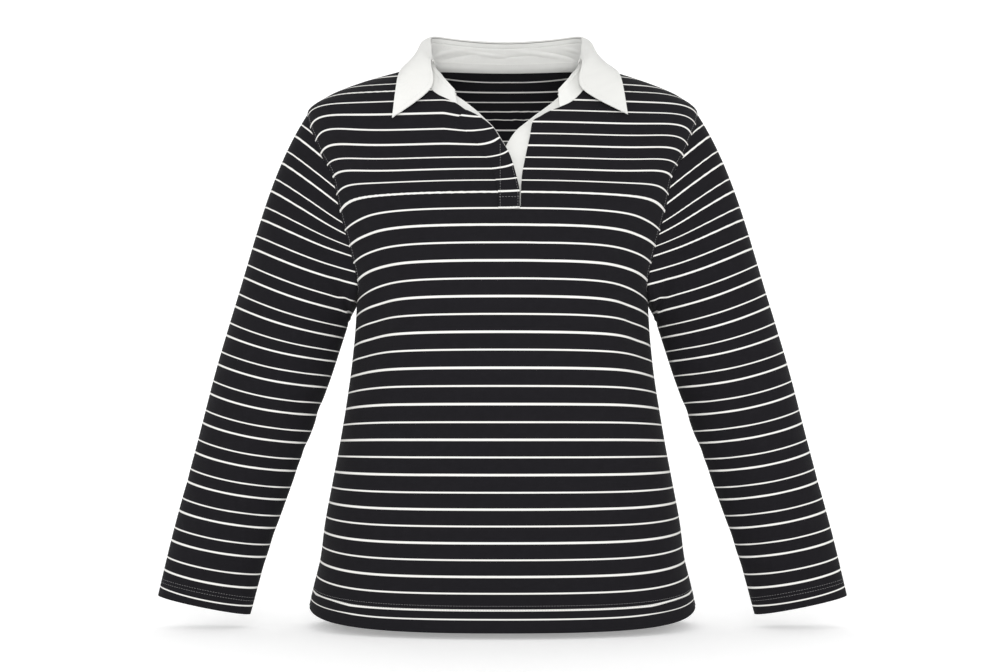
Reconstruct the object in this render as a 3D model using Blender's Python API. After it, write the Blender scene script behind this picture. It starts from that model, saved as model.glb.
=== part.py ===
"""Long-sleeved striped polo shirt with an open collar, hollow and filled out as when it is worn.

Metres, +Z up, the front faces -Y and the wearer's left is +X. The origin lies at the middle of
the shoulders, where the wearer's shoulders carry the shirt.
"""

import math
from typing import NamedTuple

import bmesh
import bpy
import numpy as np

SHIRT = "striped_polo_shirt"

# Walls of the cloth
JERSEY = 0.0016          # striped jersey
TWILL = 0.0016           # white placket underlap
STAND_WALL = 0.0022      # collar stand, two layers and their seam
LEAF_WALL = 0.0018       # turned-down collar
THIN_WALL = 0.0010       # neck tape and placket facing
OVERLAP_WALL = 0.0012    # striped placket overlap

# Gaps
SEAM_GAP = 0.0003        # between pieces that are sewn edge to edge
LAYER_GAP = 0.0005       # between pieces that lie on each other

# Rows and columns of the cloth walls
SIDE_ROWS = 12           # hem to underarm
ARMHOLE_ROWS = 20        # underarm to shoulder
FRONT_COLUMNS = 10       # side seam to placket edge
BACK_COLUMNS = 8         # side seam to the middle of the back
CAP_RINGS = 5            # armhole to the top of the arm
ARM_RINGS = 8            # top of the arm to the cuff
STAND_ROWS = 3
LEAF_ROWS = 9
STRIP_COLUMNS = 4


class Section(NamedTuple):
    """A level cut through the filled body, a superellipse that may sit off the middle."""

    height: float
    half_width: float
    front: float
    back: float
    shift: float


ROUNDNESS = 2.2
BODY = (
    Section(-0.655, 0.2350, 0.125, 0.105, 0.0),
    Section(-0.628, 0.2290, 0.124, 0.105, 0.0),
    Section(-0.600, 0.2218, 0.122, 0.106, 0.0),
    Section(-0.569, 0.2145, 0.120, 0.106, 0.0),
    Section(-0.533, 0.2100, 0.118, 0.105, 0.0),
    Section(-0.480, 0.2003, 0.115, 0.101, 0.0),
    Section(-0.440, 0.1927, 0.112, 0.097, 0.0),
    Section(-0.391, 0.1845, 0.112, 0.092, 0.0),
    Section(-0.338, 0.1772, 0.115, 0.090, 0.0),
    Section(-0.300, 0.1735, 0.119, 0.092, 0.0),
    Section(-0.268, 0.1720, 0.122, 0.095, 0.0),
    Section(-0.242, 0.1795, 0.122, 0.098, 0.0),
    Section(-0.208, 0.1895, 0.121, 0.100, 0.0),
    Section(-0.180, 0.1975, 0.118, 0.101, 0.0),
    Section(-0.157, 0.2030, 0.115, 0.102, 0.0),
    Section(-0.132, 0.2090, 0.109, 0.102, 0.0),
    Section(-0.099, 0.2225, 0.101, 0.101, 0.0),
    Section(-0.079, 0.2280, 0.096, 0.099, 0.0),
    Section(-0.060, 0.2315, 0.090, 0.097, 0.0),
    Section(-0.046, 0.2305, 0.084, 0.095, 0.0),
    Section(-0.028, 0.2080, 0.076, 0.091, 0.001),
    Section(-0.014, 0.1742, 0.069, 0.087, 0.002),
    Section(-0.001, 0.1310, 0.062, 0.081, 0.0045),
    Section(0.005, 0.1110, 0.059, 0.078, 0.0045),
    Section(0.009, 0.0975, 0.057, 0.076, 0.0045),
    Section(0.0115, 0.0890, 0.056, 0.074, 0.0045),
    Section(0.016, 0.0865, 0.054, 0.071, 0.0045),
    Section(0.024, 0.0830, 0.050, 0.067, 0.0045),
    Section(0.035, 0.0770, 0.046, 0.062, 0.0045),
)
NECK_MIDDLE = 0.0045     # the neck sits this far towards the wearer's left
SHOULDER_HEIGHT = -0.046
UNDERARM_HEIGHT = -0.268
VENT_HEIGHT = -0.595
HEM_SIDE = -0.628
HEM_MIDDLE = -0.645
HEM_CURVE = 3.0          # how late the hem turns up towards the vents
VENT_ROWS = 2            # rows below the top of the vents
VENT_OPENING = 11.0      # how far the front's hem corners hang clear of the back's, in degrees


class Armhole(NamedTuple):
    """How far the armhole seam lies in from the side of the body, in degrees."""

    height: float
    front: float
    back: float


ARMHOLE = (
    Armhole(-0.268, 0.0, 0.0),
    Armhole(-0.2655, 8.0, 7.0),
    Armhole(-0.258, 16.5, 14.0),
    Armhole(-0.242, 21.0, 18.0),
    Armhole(-0.208, 22.0, 19.0),
    Armhole(-0.160, 21.2, 18.2),
    Armhole(-0.125, 22.0, 17.5),
    Armhole(-0.099, 18.8, 15.3),
    Armhole(-0.075, 15.5, 12.0),
    Armhole(-0.058, 10.5, 8.0),
    Armhole(-0.0495, 5.0, 4.0),
    Armhole(-0.046, 0.0, 0.0),
)


class Opening(NamedTuple):
    """The inner ends of one row of the front, the wearer's right being -X."""

    right_x: float
    right_z: float
    left_x: float
    left_z: float


# From the row at the underarm up: the slit, the V and the neckline
FRONT_OPENING = (
    Opening(-0.0050, -0.2500, 0.0400, -0.2500),
    Opening(0.0060, -0.2230, 0.0330, -0.2230),
    Opening(0.0150, -0.1970, 0.0260, -0.1970),
    Opening(0.0192, -0.1720, 0.0204, -0.1720),
    Opening(0.0190, -0.1550, 0.0208, -0.1540),
    Opening(0.0163, -0.1410, 0.0218, -0.1370),
    Opening(0.0116, -0.1230, 0.0246, -0.1210),
    Opening(0.0071, -0.1107, 0.0273, -0.1076),
    Opening(-0.0012, -0.0962, 0.0306, -0.0922),
    Opening(-0.0114, -0.0804, 0.0341, -0.0735),
    Opening(-0.0263, -0.0680, 0.0424, -0.0675),
    Opening(-0.0400, -0.0605, 0.0520, -0.0615),
    Opening(-0.0513, -0.0520, 0.0645, -0.0560),
    Opening(-0.0630, -0.0455, 0.0765, -0.0500),
    Opening(-0.0745, -0.0390, 0.0860, -0.0415),
    Opening(-0.0826, -0.0300, 0.0924, -0.0320),
    Opening(-0.0852, -0.0175, 0.0945, -0.0190),
    Opening(-0.0862, -0.0045, 0.0952, -0.0055),
    Opening(-0.0862, 0.0040, 0.0952, 0.0035),
    Opening(-0.0857, 0.0090, 0.0947, 0.0090),
    Opening(-0.0845, 0.0115, 0.0935, 0.0115),
)
SLIT_STEP = 3            # the step at the slit's lower end
STAND_STEP = 12          # the step where the collar stand begins


class NeckStep(NamedTuple):
    """The inner end of one row of the back, x from the neck's middle."""

    x: float
    z: float


BACK_NECK = (
    NeckStep(0.003, 0.0230),
    NeckStep(0.017, 0.0229),
    NeckStep(0.034, 0.0225),
    NeckStep(0.050, 0.0215),
    NeckStep(0.064, 0.0200),
    NeckStep(0.076, 0.0175),
    NeckStep(0.084, 0.0145),
    NeckStep(0.089, 0.0115),
)


class ArmSection(NamedTuple):
    """A cut across a sleeve through its outer and inner edges, x away from the body."""

    outer_x: float
    outer_z: float
    inner_x: float
    inner_z: float
    half_depth: float
    middle_y: float


ARM = (
    ArmSection(0.3110, -0.2560, 0.1830, -0.2960, 0.0470, 0.0000),
    ArmSection(0.3354, -0.3380, 0.2093, -0.3765, 0.0450, -0.0010),
    ArmSection(0.3626, -0.4440, 0.2472, -0.4790, 0.0400, -0.0040),
    ArmSection(0.3905, -0.5510, 0.2825, -0.5836, 0.0335, -0.0090),
    ArmSection(0.4050, -0.6145, 0.2965, -0.6370, 0.0270, -0.0130),
)
CAP_LEAVE = (0.55, 0.0, -0.84)       # how the sleeve leaves the shoulder point
ARM_ALONG = (0.36, 0.0, -0.93)       # how it leaves the underarm


class CollarStep(NamedTuple):
    """The collar over one step of the neckline, x from the neck's middle.

    The leaf folds over the stand's upper edge, bends at its knee and ends at its edge.
    """

    fold: tuple[float, float, float]
    knee: tuple[float, float, float]
    edge: tuple[float, float, float]


# From the middle of the back to the shoulder, then forward to the leaf's front end
LEAF = (
    CollarStep((0.0030, 0.0600, 0.0520), (0.0030, 0.0770, 0.0330), (0.0040, 0.0860, 0.0010)),
    CollarStep((0.0180, 0.0595, 0.0522), (0.0190, 0.0765, 0.0330), (0.0230, 0.0855, 0.0008)),
    CollarStep((0.0360, 0.0565, 0.0525), (0.0380, 0.0740, 0.0335), (0.0480, 0.0835, 0.0000)),
    CollarStep((0.0530, 0.0515, 0.0526), (0.0580, 0.0680, 0.0342), (0.0730, 0.0785, 0.0000)),
    CollarStep((0.0670, 0.0445, 0.0523), (0.0755, 0.0580, 0.0350), (0.0940, 0.0690, 0.0005)),
    CollarStep((0.0790, 0.0345, 0.0513), (0.0895, 0.0440, 0.0352), (0.1100, 0.0560, 0.0020)),
    CollarStep((0.0865, 0.0205, 0.0485), (0.1000, 0.0270, 0.0340), (0.1220, 0.0380, 0.0035)),
    CollarStep((0.0905, 0.0060, 0.0440), (0.1080, 0.0080, 0.0300), (0.1300, 0.0170, 0.0050)),
    CollarStep((0.0912, -0.0100, 0.0360), (0.1115, -0.0130, 0.0230), (0.1330, -0.0080, 0.0045)),
    CollarStep((0.0904, -0.0220, 0.0275), (0.1115, -0.0340, 0.0140), (0.1330, -0.0350, 0.0000)),
    CollarStep((0.0895, -0.0350, 0.0165), (0.1060, -0.0590, 0.0000), (0.1317, -0.0665, -0.0205)),
    CollarStep((0.0862, -0.0470, 0.0055), (0.0866, -0.0830, -0.0340), (0.1292, -0.0860, -0.0675)),
)


class StandStep(NamedTuple):
    """The stand's upper edge in front of the leaf, x from the neck's middle."""

    x: float
    y: float
    z: float


STAND_INSIDE = -0.035    # height of a point that all of the stand looks away from
# How far the leaf goes from its fold to its knee, in x, y and z, before it hangs down
LEAF_ROLL = np.array((0.55, 0.55, 0.25))
STAND_FRONT = (
    StandStep(0.0815, -0.0580, -0.0040),
    StandStep(0.0755, -0.0670, -0.0135),
    StandStep(0.0680, -0.0755, -0.0235),
    StandStep(0.0590, -0.0815, -0.0345),
)


class StripStep(NamedTuple):
    """Both edges of a placket strip, and how deep its free edge lies under the cloth's outside."""

    sewn_x: float
    sewn_z: float
    free_x: float
    free_z: float
    sink: float


FACING = (
    StripStep(0.0040, -0.1460, 0.0169, -0.1405, 0.0023),
    StripStep(0.0000, -0.1310, 0.0124, -0.1226, 0.0023),
    StripStep(-0.0040, -0.1210, 0.0080, -0.1102, 0.0024),
    StripStep(-0.0120, -0.1070, 0.0000, -0.0954, 0.0026),
    StripStep(-0.0220, -0.0920, -0.0099, -0.0792, 0.0030),
    StripStep(-0.0340, -0.0790, -0.0225, -0.0655, 0.0035),
    StripStep(-0.0430, -0.0720, -0.0310, -0.0565, 0.0040),
    StripStep(-0.0500, -0.0650, -0.0425, -0.0465, 0.0040),
)
UNDERLAP = (
    StripStep(0.0280, -0.1760, -0.0030, -0.1760, 0.0070),
    StripStep(0.0285, -0.1560, -0.0040, -0.1570, 0.0070),
    StripStep(0.0300, -0.1380, -0.0040, -0.1390, 0.0070),
    StripStep(0.0325, -0.1240, -0.0030, -0.1240, 0.0070),
    StripStep(0.0355, -0.1110, 0.0000, -0.1110, 0.0070),
    StripStep(0.0385, -0.0960, 0.0045, -0.0985, 0.0070),
    StripStep(0.0430, -0.0820, 0.0150, -0.0815, 0.0075),
    StripStep(0.0480, -0.0755, 0.0280, -0.0695, 0.0080),
    StripStep(0.0560, -0.0700, 0.0410, -0.0585, 0.0075),
    StripStep(0.0660, -0.0650, 0.0565, -0.0465, 0.0060),
)
SEWN_SINK = 0.0023       # how deep those strips lie at their sewn edge
OVERLAP_RISE = -(LAYER_GAP + OVERLAP_WALL)
OVERLAP = (
    StripStep(-0.0045, -0.1750, 0.0192, -0.1750, OVERLAP_RISE),
    StripStep(-0.0046, -0.1580, 0.0190, -0.1550, OVERLAP_RISE),
    StripStep(-0.0068, -0.1460, 0.0163, -0.1410, OVERLAP_RISE),
    StripStep(-0.0110, -0.1305, 0.0116, -0.1230, OVERLAP_RISE),
    StripStep(-0.0155, -0.1195, 0.0071, -0.1107, OVERLAP_RISE),
    StripStep(-0.0230, -0.1070, -0.0012, -0.0962, OVERLAP_RISE),
    StripStep(-0.0320, -0.0940, -0.0114, -0.0804, OVERLAP_RISE),
    StripStep(-0.0430, -0.0820, -0.0263, -0.0680, OVERLAP_RISE),
    StripStep(-0.0530, -0.0720, -0.0400, -0.0605, OVERLAP_RISE),
)
TAPE_BELOW = 0.0045      # how far the neck tape reaches below the seam
TAPE_ABOVE = 0.0060      # and above it


class Fold(NamedTuple):
    """A soft fold of the front, a trough or a ridge along its length."""

    x: float
    z: float
    half_length: float
    half_width: float
    rise: float
    lean: float


FRONT_FOLDS = (
    Fold(-0.140, -0.290, 0.060, 0.014, -0.0030, 0.20),
    Fold(0.146, -0.285, 0.062, 0.014, -0.0030, -0.22),
    Fold(-0.118, -0.330, 0.070, 0.018, 0.0022, 0.12),
    Fold(0.122, -0.330, 0.070, 0.018, 0.0022, -0.12),
    Fold(-0.152, -0.205, 0.040, 0.014, -0.0025, -0.45),
    Fold(0.152, -0.205, 0.040, 0.014, -0.0025, 0.45),
)


class Finish(NamedTuple):
    """A plain colour for a piece."""

    name: str
    colour: tuple[float, float, float]
    roughness: float


STRIPED_JERSEY = Finish("black_striped_jersey", (0.022, 0.021, 0.025), 0.85)
WHITE_TWILL = Finish("white_twill", (0.87, 0.87, 0.84), 0.75)


class SmoothTable:
    """A smooth curve through a table's column that doesn't overshoot its rows."""

    def __init__(self, places, values):
        self.x = np.asarray(places, float)
        self.y = np.asarray(values, float)
        step = np.diff(self.x)
        slope = np.diff(self.y) / step
        self.tangent = np.zeros_like(self.y)
        self.tangent[0] = slope[0]
        self.tangent[-1] = slope[-1]
        for i in range(1, len(slope)):
            if slope[i - 1] * slope[i] > 0:
                before = 2 * step[i] + step[i - 1]
                after = step[i] + 2 * step[i - 1]
                self.tangent[i] = (before + after) / (before / slope[i - 1] + after / slope[i])

    def __call__(self, place):
        i = int(np.clip(np.searchsorted(self.x, place) - 1, 0, len(self.x) - 2))
        width = self.x[i + 1] - self.x[i]
        t = min(max((place - self.x[i]) / width, 0.0), 1.0)
        swing = t * t * (3 - 2 * t)
        return ((1 - swing) * self.y[i] + swing * self.y[i + 1]
                + width * t * (1 - t) ** 2 * self.tangent[i]
                + width * t * t * (t - 1) * self.tangent[i + 1])


def column(table, name):
    """A smooth curve of one column of a table over its heights."""
    return SmoothTable([row.height for row in table], [getattr(row, name) for row in table])


HALF_WIDTH = column(BODY, "half_width")
FRONT_DEPTH = column(BODY, "front")
BACK_DEPTH = column(BODY, "back")
SHIFT = column(BODY, "shift")
FRONT_INSET = column(ARMHOLE, "front")
BACK_INSET = column(ARMHOLE, "back")


class Patch(NamedTuple):
    """A grid of points on the cloth's outside, with its outward directions."""

    points: np.ndarray
    normals: np.ndarray
    missing: frozenset = frozenset()


class Seam(NamedTuple):
    """An edge of a piece that another piece is sewn to.

    The points lie on the edge, along follows it, the normals point out of the cloth, and off
    points away from the cloth along its surface.
    """

    points: np.ndarray
    along: np.ndarray
    normals: np.ndarray
    off: np.ndarray


def unit(vector):
    """The vector at length one."""
    return vector / np.linalg.norm(vector)


def signed_power(value, exponent):
    """A power that keeps the sign of its base."""
    return math.copysign(abs(value) ** exponent, value)


def body_point(angle, height):
    """A point of the body's outside, the angle going round from the middle of the front."""
    sideways = signed_power(math.sin(angle), 2 / ROUNDNESS)
    forward = signed_power(math.cos(angle), 2 / ROUNDNESS)
    depth = FRONT_DEPTH(height) if forward > 0 else BACK_DEPTH(height)
    return np.array((SHIFT(height) + HALF_WIDTH(height) * sideways, -depth * forward, height))


def body_normal(angle, height):
    """The direction straight out of the body at a point."""
    turn = math.radians(1.0)
    climb = 0.0015
    around = body_point(angle + turn, height) - body_point(angle - turn, height)
    upward = body_point(angle, height + climb) - body_point(angle, height - climb)
    return unit(np.cross(around, upward))


def front_angle(x, height):
    """The angle of the front's point at a width and a height."""
    share = max(min((x - SHIFT(height)) / HALF_WIDTH(height), 1.0), -1.0)
    return math.asin(signed_power(share, ROUNDNESS / 2))


def fold_rise(point):
    """How far the soft folds lift or sink the front at a point."""
    total = 0.0
    for fold in FRONT_FOLDS:
        along = (point[2] - fold.z) / fold.half_length
        across = (point[0] - fold.x - fold.lean * (point[2] - fold.z)) / fold.half_width
        total += fold.rise * math.exp(-along * along - across * across)
    return total


def side_heights():
    """Heights of a panel's outer edge, from the hem over the underarm to the shoulder."""
    heights = [HEM_SIDE, (HEM_SIDE + VENT_HEIGHT) / 2, VENT_HEIGHT]
    heights += list(np.linspace(VENT_HEIGHT, UNDERARM_HEIGHT, SIDE_ROWS - 1))[1:]
    fine = np.linspace(UNDERARM_HEIGHT, SHOULDER_HEIGHT, 400)
    edge = [body_point(math.pi / 2 - math.radians(FRONT_INSET(z)), z) for z in fine]
    lengths = np.cumsum([0.0] + [np.linalg.norm(b - a) for a, b in zip(edge, edge[1:])])
    steps = np.linspace(0.0, lengths[-1], ARMHOLE_ROWS + 1)[1:]
    return heights + list(np.interp(steps, lengths, fine))


def front_ends():
    """The angle and height of both inner ends of the front's rows, hem to neck point."""
    ends = []
    first = FRONT_OPENING[0]
    for row in range(SIDE_ROWS):
        height = HEM_MIDDLE + (first.right_z - HEM_MIDDLE) * row / SIDE_ROWS
        ends.append(((front_angle(first.right_x, height), height),
                     (front_angle(first.left_x, height), height)))
    for step in FRONT_OPENING:
        ends.append(((front_angle(step.right_x, step.right_z), step.right_z),
                     (front_angle(step.left_x, step.left_z), step.left_z)))
    return ends


def back_ends():
    """The angle and height of both inner ends of the back's rows, hem to neck point."""
    ends = []
    rising = SIDE_ROWS + ARMHOLE_ROWS + 1 - len(BACK_NECK)
    first = BACK_NECK[0]
    for row in range(rising + len(BACK_NECK)):
        step = BACK_NECK[max(row - rising, 0)]
        height = step.z if row >= rising else HEM_MIDDLE + (first.z - HEM_MIDDLE) * row / rising
        right = -math.pi - front_angle(NECK_MIDDLE - step.x, height)
        left = math.pi - front_angle(NECK_MIDDLE + step.x, height)
        ends.append(((right, height), (left, height)))
    return ends


def panel(heights, ends, inset, facing, columns, open_from):
    """A front or back panel between its side seams, parted in the middle from one row up.

    Args:
        heights: the outer edge's heights, row by row.
        ends: the angle and height of both inner ends, row by row.
        inset: the armhole's inset in degrees at a height.
        facing: -1 for the front and 1 for the back.
        columns: cloth columns in each half.
        open_from: the row from which the halves part.

    Returns:
        The panel's patch, from the wearer's right to the left.
    """
    top = len(heights) - 1
    points = []
    normals = []
    for row, side_height in enumerate(heights):
        on_seam = row <= SIDE_ROWS or row == top
        bend = 1.0 + (HEM_CURVE - 1.0) * max(0.0, 1.0 - row / SIDE_ROWS)
        turn = 0.0 if on_seam else math.radians(inset(side_height))
        if facing < 0 and row < VENT_ROWS:
            turn = math.radians(VENT_OPENING) * (1 - row / VENT_ROWS)
        line = []
        across = []
        for side, (inner_angle, inner_height) in zip((-1, 1), ends[row]):
            outer_angle = side * (math.pi / 2 + facing * turn)
            shares = np.linspace(0.0, 1.0, columns + 1)
            for share in shares if side < 0 else shares[::-1]:
                angle = outer_angle + (inner_angle - outer_angle) * share
                height = inner_height + (side_height - inner_height) * (1 - share) ** bend
                normal = body_normal(angle, height)
                point = body_point(angle, height)
                if facing < 0:
                    point = point + normal * fold_rise(point)
                if row == top or (share == 0.0 and on_seam):
                    point = point + np.array((0.0, facing * SEAM_GAP / 2, 0.0))
                line.append(point)
                across.append(normal)
        points.append(line)
        normals.append(across)
    missing = frozenset((row, columns) for row in range(open_from, top))
    return Patch(np.array(points), np.array(normals), missing)


def seam_of(places, loop):
    """Makes a seam from a patch's edge squares.

    Args:
        places: for each point of the seam, the patch, its row and column, and a row and column
            beside it inside the cloth.
        loop: whether the seam closes on itself.

    Returns:
        The seam.
    """
    points = np.array([patch.points[edge] for patch, edge, _ in places])
    normals = np.array([patch.normals[edge] for patch, edge, _ in places])
    beside = np.array([patch.points[inner] for patch, _, inner in places])
    count = len(points)
    along = []
    off = []
    for i in range(count):
        before = points[(i - 1) % count] if loop else points[max(i - 1, 0)]
        after = points[(i + 1) % count] if loop else points[min(i + 1, count - 1)]
        along.append(unit(after - before))
        away = unit(np.cross(along[i], normals[i]))
        off.append(away if np.dot(away, points[i] - beside[i]) > 0 else -away)
    return Seam(points, np.array(along), normals, np.array(off))


def sewn_start(seam, leaving):
    """Where a piece sewn to a seam starts, and how far it keeps the direction of the seam's edge.

    A piece that bends inwards keeps that direction, so that both edges lie face to face. One that
    stands up or folds back from the seam moves off the cloth as well.
    """
    starts = []
    kept = []
    for point, along, normal, off, way in zip(*seam, leaving):
        go = unit(way - along * np.dot(way, along))
        folded = (1 - np.dot(go, off)) / 2
        apart = unit((1 - folded) * off + folded * normal) * SEAM_GAP * (1 + folded)
        starts.append(point + apart)
        kept.append(min(max(0.5 - 3.0 * np.dot(go, normal), 0.0), 1.0))
    return np.array(starts), np.array(kept)


def patch_of(points, inside, closed=False, missing=frozenset()):
    """Makes a patch whose outward directions point away from inside points, one for each row."""
    rows, columns = points.shape[:2]
    normals = np.zeros_like(points)
    for i in range(rows):
        for j in range(columns):
            up = points[min(i + 1, rows - 1), j] - points[max(i - 1, 0), j]
            if closed:
                around = points[i, (j + 1) % columns] - points[i, j - 1]
            else:
                around = points[i, min(j + 1, columns - 1)] - points[i, max(j - 1, 0)]
            normal = unit(np.cross(around, up))
            outward = np.dot(normal, points[i, j] - inside[i]) > 0
            normals[i, j] = normal if outward else -normal
    return Patch(points, normals, missing)


def hermite(start, leave, end, arrive, t):
    """A point of the curve between two ends with their directions."""
    swing = t * t * (3 - 2 * t)
    return ((1 - swing) * start + swing * end
            + t * (1 - t) ** 2 * leave + t * t * (t - 1) * arrive)


def curve_through(knots, place):
    """A point of the smooth curve through a few knots, the place counting knots."""
    i = min(int(place), len(knots) - 2)
    before = knots[max(i - 1, 0)]
    after = knots[min(i + 2, len(knots) - 1)]
    leave = (knots[i + 1] - before) / 2
    arrive = (after - knots[i]) / 2
    return hermite(knots[i], leave, knots[i + 1], arrive, place - i)


def arm_ring(section, angles, side):
    """The points around one section of a sleeve, from its outer edge over its front."""
    outer = np.array((side * section.outer_x, section.middle_y, section.outer_z))
    inner = np.array((side * section.inner_x, section.middle_y, section.inner_z))
    middle = (outer + inner) / 2
    ring = []
    for angle in angles:
        depth = np.array((0.0, -section.half_depth * math.sin(angle), 0.0))
        ring.append(middle + (outer - middle) * math.cos(angle) + depth)
    return np.array(ring)


def arm_sections():
    """Sections of the sleeve from the top of the arm to the cuff, worked out from the table."""
    lengths = [0.0]
    for upper, lower in zip(ARM, ARM[1:]):
        step = math.hypot(lower.outer_x - upper.outer_x, lower.outer_z - upper.outer_z)
        lengths.append(lengths[-1] + step)
    columns = [SmoothTable(lengths, [row[i] for row in ARM]) for i in range(len(ARM[0]))]
    places = np.linspace(0.0, lengths[-1], ARM_RINGS + 1)
    return [ArmSection(*(column_at(place) for column_at in columns)) for place in places]


def armhole_seam(front, back, side):
    """The armhole's seam, from the shoulder down the front and up the back."""
    edge = 0 if side < 0 else -1
    beside = 1 if side < 0 else -2
    top = SIDE_ROWS + ARMHOLE_ROWS
    places = [(front, (row, edge), (row - 1, beside)) for row in range(top, SIDE_ROWS - 1, -1)]
    places += [(back, (row, edge), (row - 1, beside)) for row in range(SIDE_ROWS + 1, top)]
    return seam_of(places, loop=True)


def sleeve(seam, side):
    """A sleeve from its armhole to its cuff."""
    steps = np.linalg.norm(np.diff(seam.points, axis=0, append=seam.points[:1]), axis=1)
    lengths = np.concatenate(((0.0,), np.cumsum(steps)))
    underarm = lengths[ARMHOLE_ROWS]
    angles = []
    for length in lengths[:-1]:
        if length <= underarm:
            angles.append(math.pi * length / underarm)
        else:
            angles.append(math.pi * (1 + (length - underarm) / (lengths[-1] - underarm)))
    mirror = np.array((side, 1.0, 1.0))
    cap = np.array(CAP_LEAVE) * mirror
    along = np.array(ARM_ALONG) * mirror
    leaving = []
    for angle in angles:
        upper = (1 + math.cos(angle)) / 2
        leaving.append(unit(upper * cap + (1 - upper) * along))
    starts, kept = sewn_start(seam, leaving)
    sections = arm_sections()
    rings = [arm_ring(section, angles, side) for section in sections]
    cap_rings = []
    for step in range(CAP_RINGS):
        t = step / CAP_RINGS
        ring = []
        for i, start in enumerate(starts):
            reach = np.linalg.norm(rings[0][i] - start)
            arrive = unit(rings[1][i] - rings[0][i]) * reach
            ring.append(hermite(start, leaving[i] * reach, rings[0][i], arrive, t))
        cap_rings.append(np.array(ring))
    points = np.array(cap_rings + rings)
    patch = patch_of(points, points.mean(axis=1), closed=True)
    for i, share in enumerate(kept):
        patch.normals[0, i] = unit(share * seam.normals[i] + (1 - share) * patch.normals[0, i])
    return patch


def neck_seam(front, back):
    """The neckline's seam, from the stand's end on the wearer's right round to the left."""
    top = SIDE_ROWS + ARMHOLE_ROWS
    first = SIDE_ROWS + STAND_STEP
    middle = top + 1 - len(BACK_NECK)
    places = []
    for row in range(first, top + 1):
        places.append((front, (row, FRONT_COLUMNS), (row, FRONT_COLUMNS - 1)))
    for row in range(top - 1, middle - 1, -1):
        places.append((back, (row, BACK_COLUMNS), (row, BACK_COLUMNS - 1)))
    for row in range(middle, top):
        places.append((back, (row, BACK_COLUMNS + 1), (row, BACK_COLUMNS + 2)))
    for row in range(top, first - 1, -1):
        places.append((front, (row, FRONT_COLUMNS + 1), (row, FRONT_COLUMNS + 2)))
    return seam_of(places, loop=False)


def both_sides(half):
    """A row of points for both sides of the neck, from a row for the wearer's left."""
    left = np.array([(NECK_MIDDLE + x, y, z) for x, y, z in half])
    right = np.array([(NECK_MIDDLE - x, y, z) for x, y, z in half])
    return np.concatenate((right[::-1], left))


def stand(seam):
    """The collar stand, from the neckline up to the fold."""
    tops = both_sides([step.fold for step in LEAF] + list(STAND_FRONT))
    leaving = tops - seam.points
    starts, kept = sewn_start(seam, leaving)
    points = np.array([starts + (tops - starts) * row / STAND_ROWS
                       for row in range(STAND_ROWS + 1)])
    patch = patch_of(points, [np.array((NECK_MIDDLE, 0.0, STAND_INSIDE))] * len(points))
    for i, share in enumerate(kept):
        patch.normals[0, i] = unit(share * seam.normals[i] + (1 - share) * patch.normals[0, i])
    return patch


def leaf(stand_patch):
    """The turned-down collar, from over the stand's upper edge to its own edge."""
    ends = len(STAND_FRONT)
    top = stand_patch.points[-1]
    folds = top[ends:-ends]
    rises = (top - stand_patch.points[0])[ends:-ends]
    along = (top[ends + 1:len(top) - ends + 1] - top[ends - 1:-ends - 1])
    outs = stand_patch.normals[-1][ends:-ends]
    ups = np.cross(outs, along)
    ups = np.array([unit(up) * np.sign(np.dot(up, rise)) for up, rise in zip(ups, rises)])
    knees = both_sides([step.knee for step in LEAF])
    edges = both_sides([step.edge for step in LEAF])
    gap = SEAM_GAP + LEAF_WALL
    curves = []
    for fold, up, out, knee, edge in zip(folds, ups, outs, knees, edges):
        over = fold - out * STAND_WALL + up * (gap + SEAM_GAP)
        corner = fold + (out + up) * gap
        below = corner + (knee - corner) * LEAF_ROLL
        curves.append(np.array((over, corner, below, knee, edge)))
    places = np.concatenate(((0.0, 0.5, 1.0, 1.5), np.linspace(2.0, 4.0, LEAF_ROWS - 3)))
    points = []
    for place in places:
        line = []
        for i, knots in enumerate(curves):
            line.append(curve_through(knots, place))
            if i + 1 < len(curves):
                between = [curve_through(curve, place) for curve in curves]
                straight = (between[i] + between[i + 1]) / 2
                line.append(straight if place <= 1.0 else curve_through(between, i + 0.5))
        points.append(line)
    points = np.array(points)
    return patch_of(points, points.mean(axis=1) - np.array((0.0, 0.0, 0.06)))


def strip(steps, columns):
    """A placket strip that follows the body's form over or under the front."""
    points = []
    normals = []
    for step in steps:
        line = []
        across = []
        for place in range(columns + 1):
            share = place / columns
            x = step.sewn_x + (step.free_x - step.sewn_x) * share
            z = step.sewn_z + (step.free_z - step.sewn_z) * share
            angle = front_angle(x, z)
            normal = body_normal(angle, z)
            deepening = (max(share - 0.2, 0.0) / 0.8) ** 0.6
            start = min(SEWN_SINK, step.sink)
            line.append(body_point(angle, z) - normal * (start + (step.sink - start) * deepening))
            across.append(normal)
        points.append(line)
        normals.append(across)
    return Patch(np.array(points), np.array(normals))


def tape(seam, stand_patch):
    """The neck tape, over the seam of the back neck on its inside."""
    first = ARMHOLE_ROWS - STAND_STEP
    last = len(seam.points) - 1 - first
    points = []
    for i in range(first, last + 1):
        point = seam.points[i]
        normal = seam.normals[i]
        upright = unit(stand_patch.points[-1, i] - stand_patch.points[0, i])
        away = stand_patch.normals[1, i]
        depth = STAND_WALL + LAYER_GAP
        low = point - seam.off[i] * TAPE_BELOW - normal * (JERSEY + LAYER_GAP)
        corner = point - (normal + away) * depth / (1 + np.dot(normal, away))
        high = point + upright * TAPE_ABOVE - away * depth
        points.append((low, corner, high))
    points = np.array(points).transpose(1, 0, 2)
    inside = np.array([(NECK_MIDDLE, 0.0, 0.0)] * len(points))
    return patch_of(points, inside)


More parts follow.
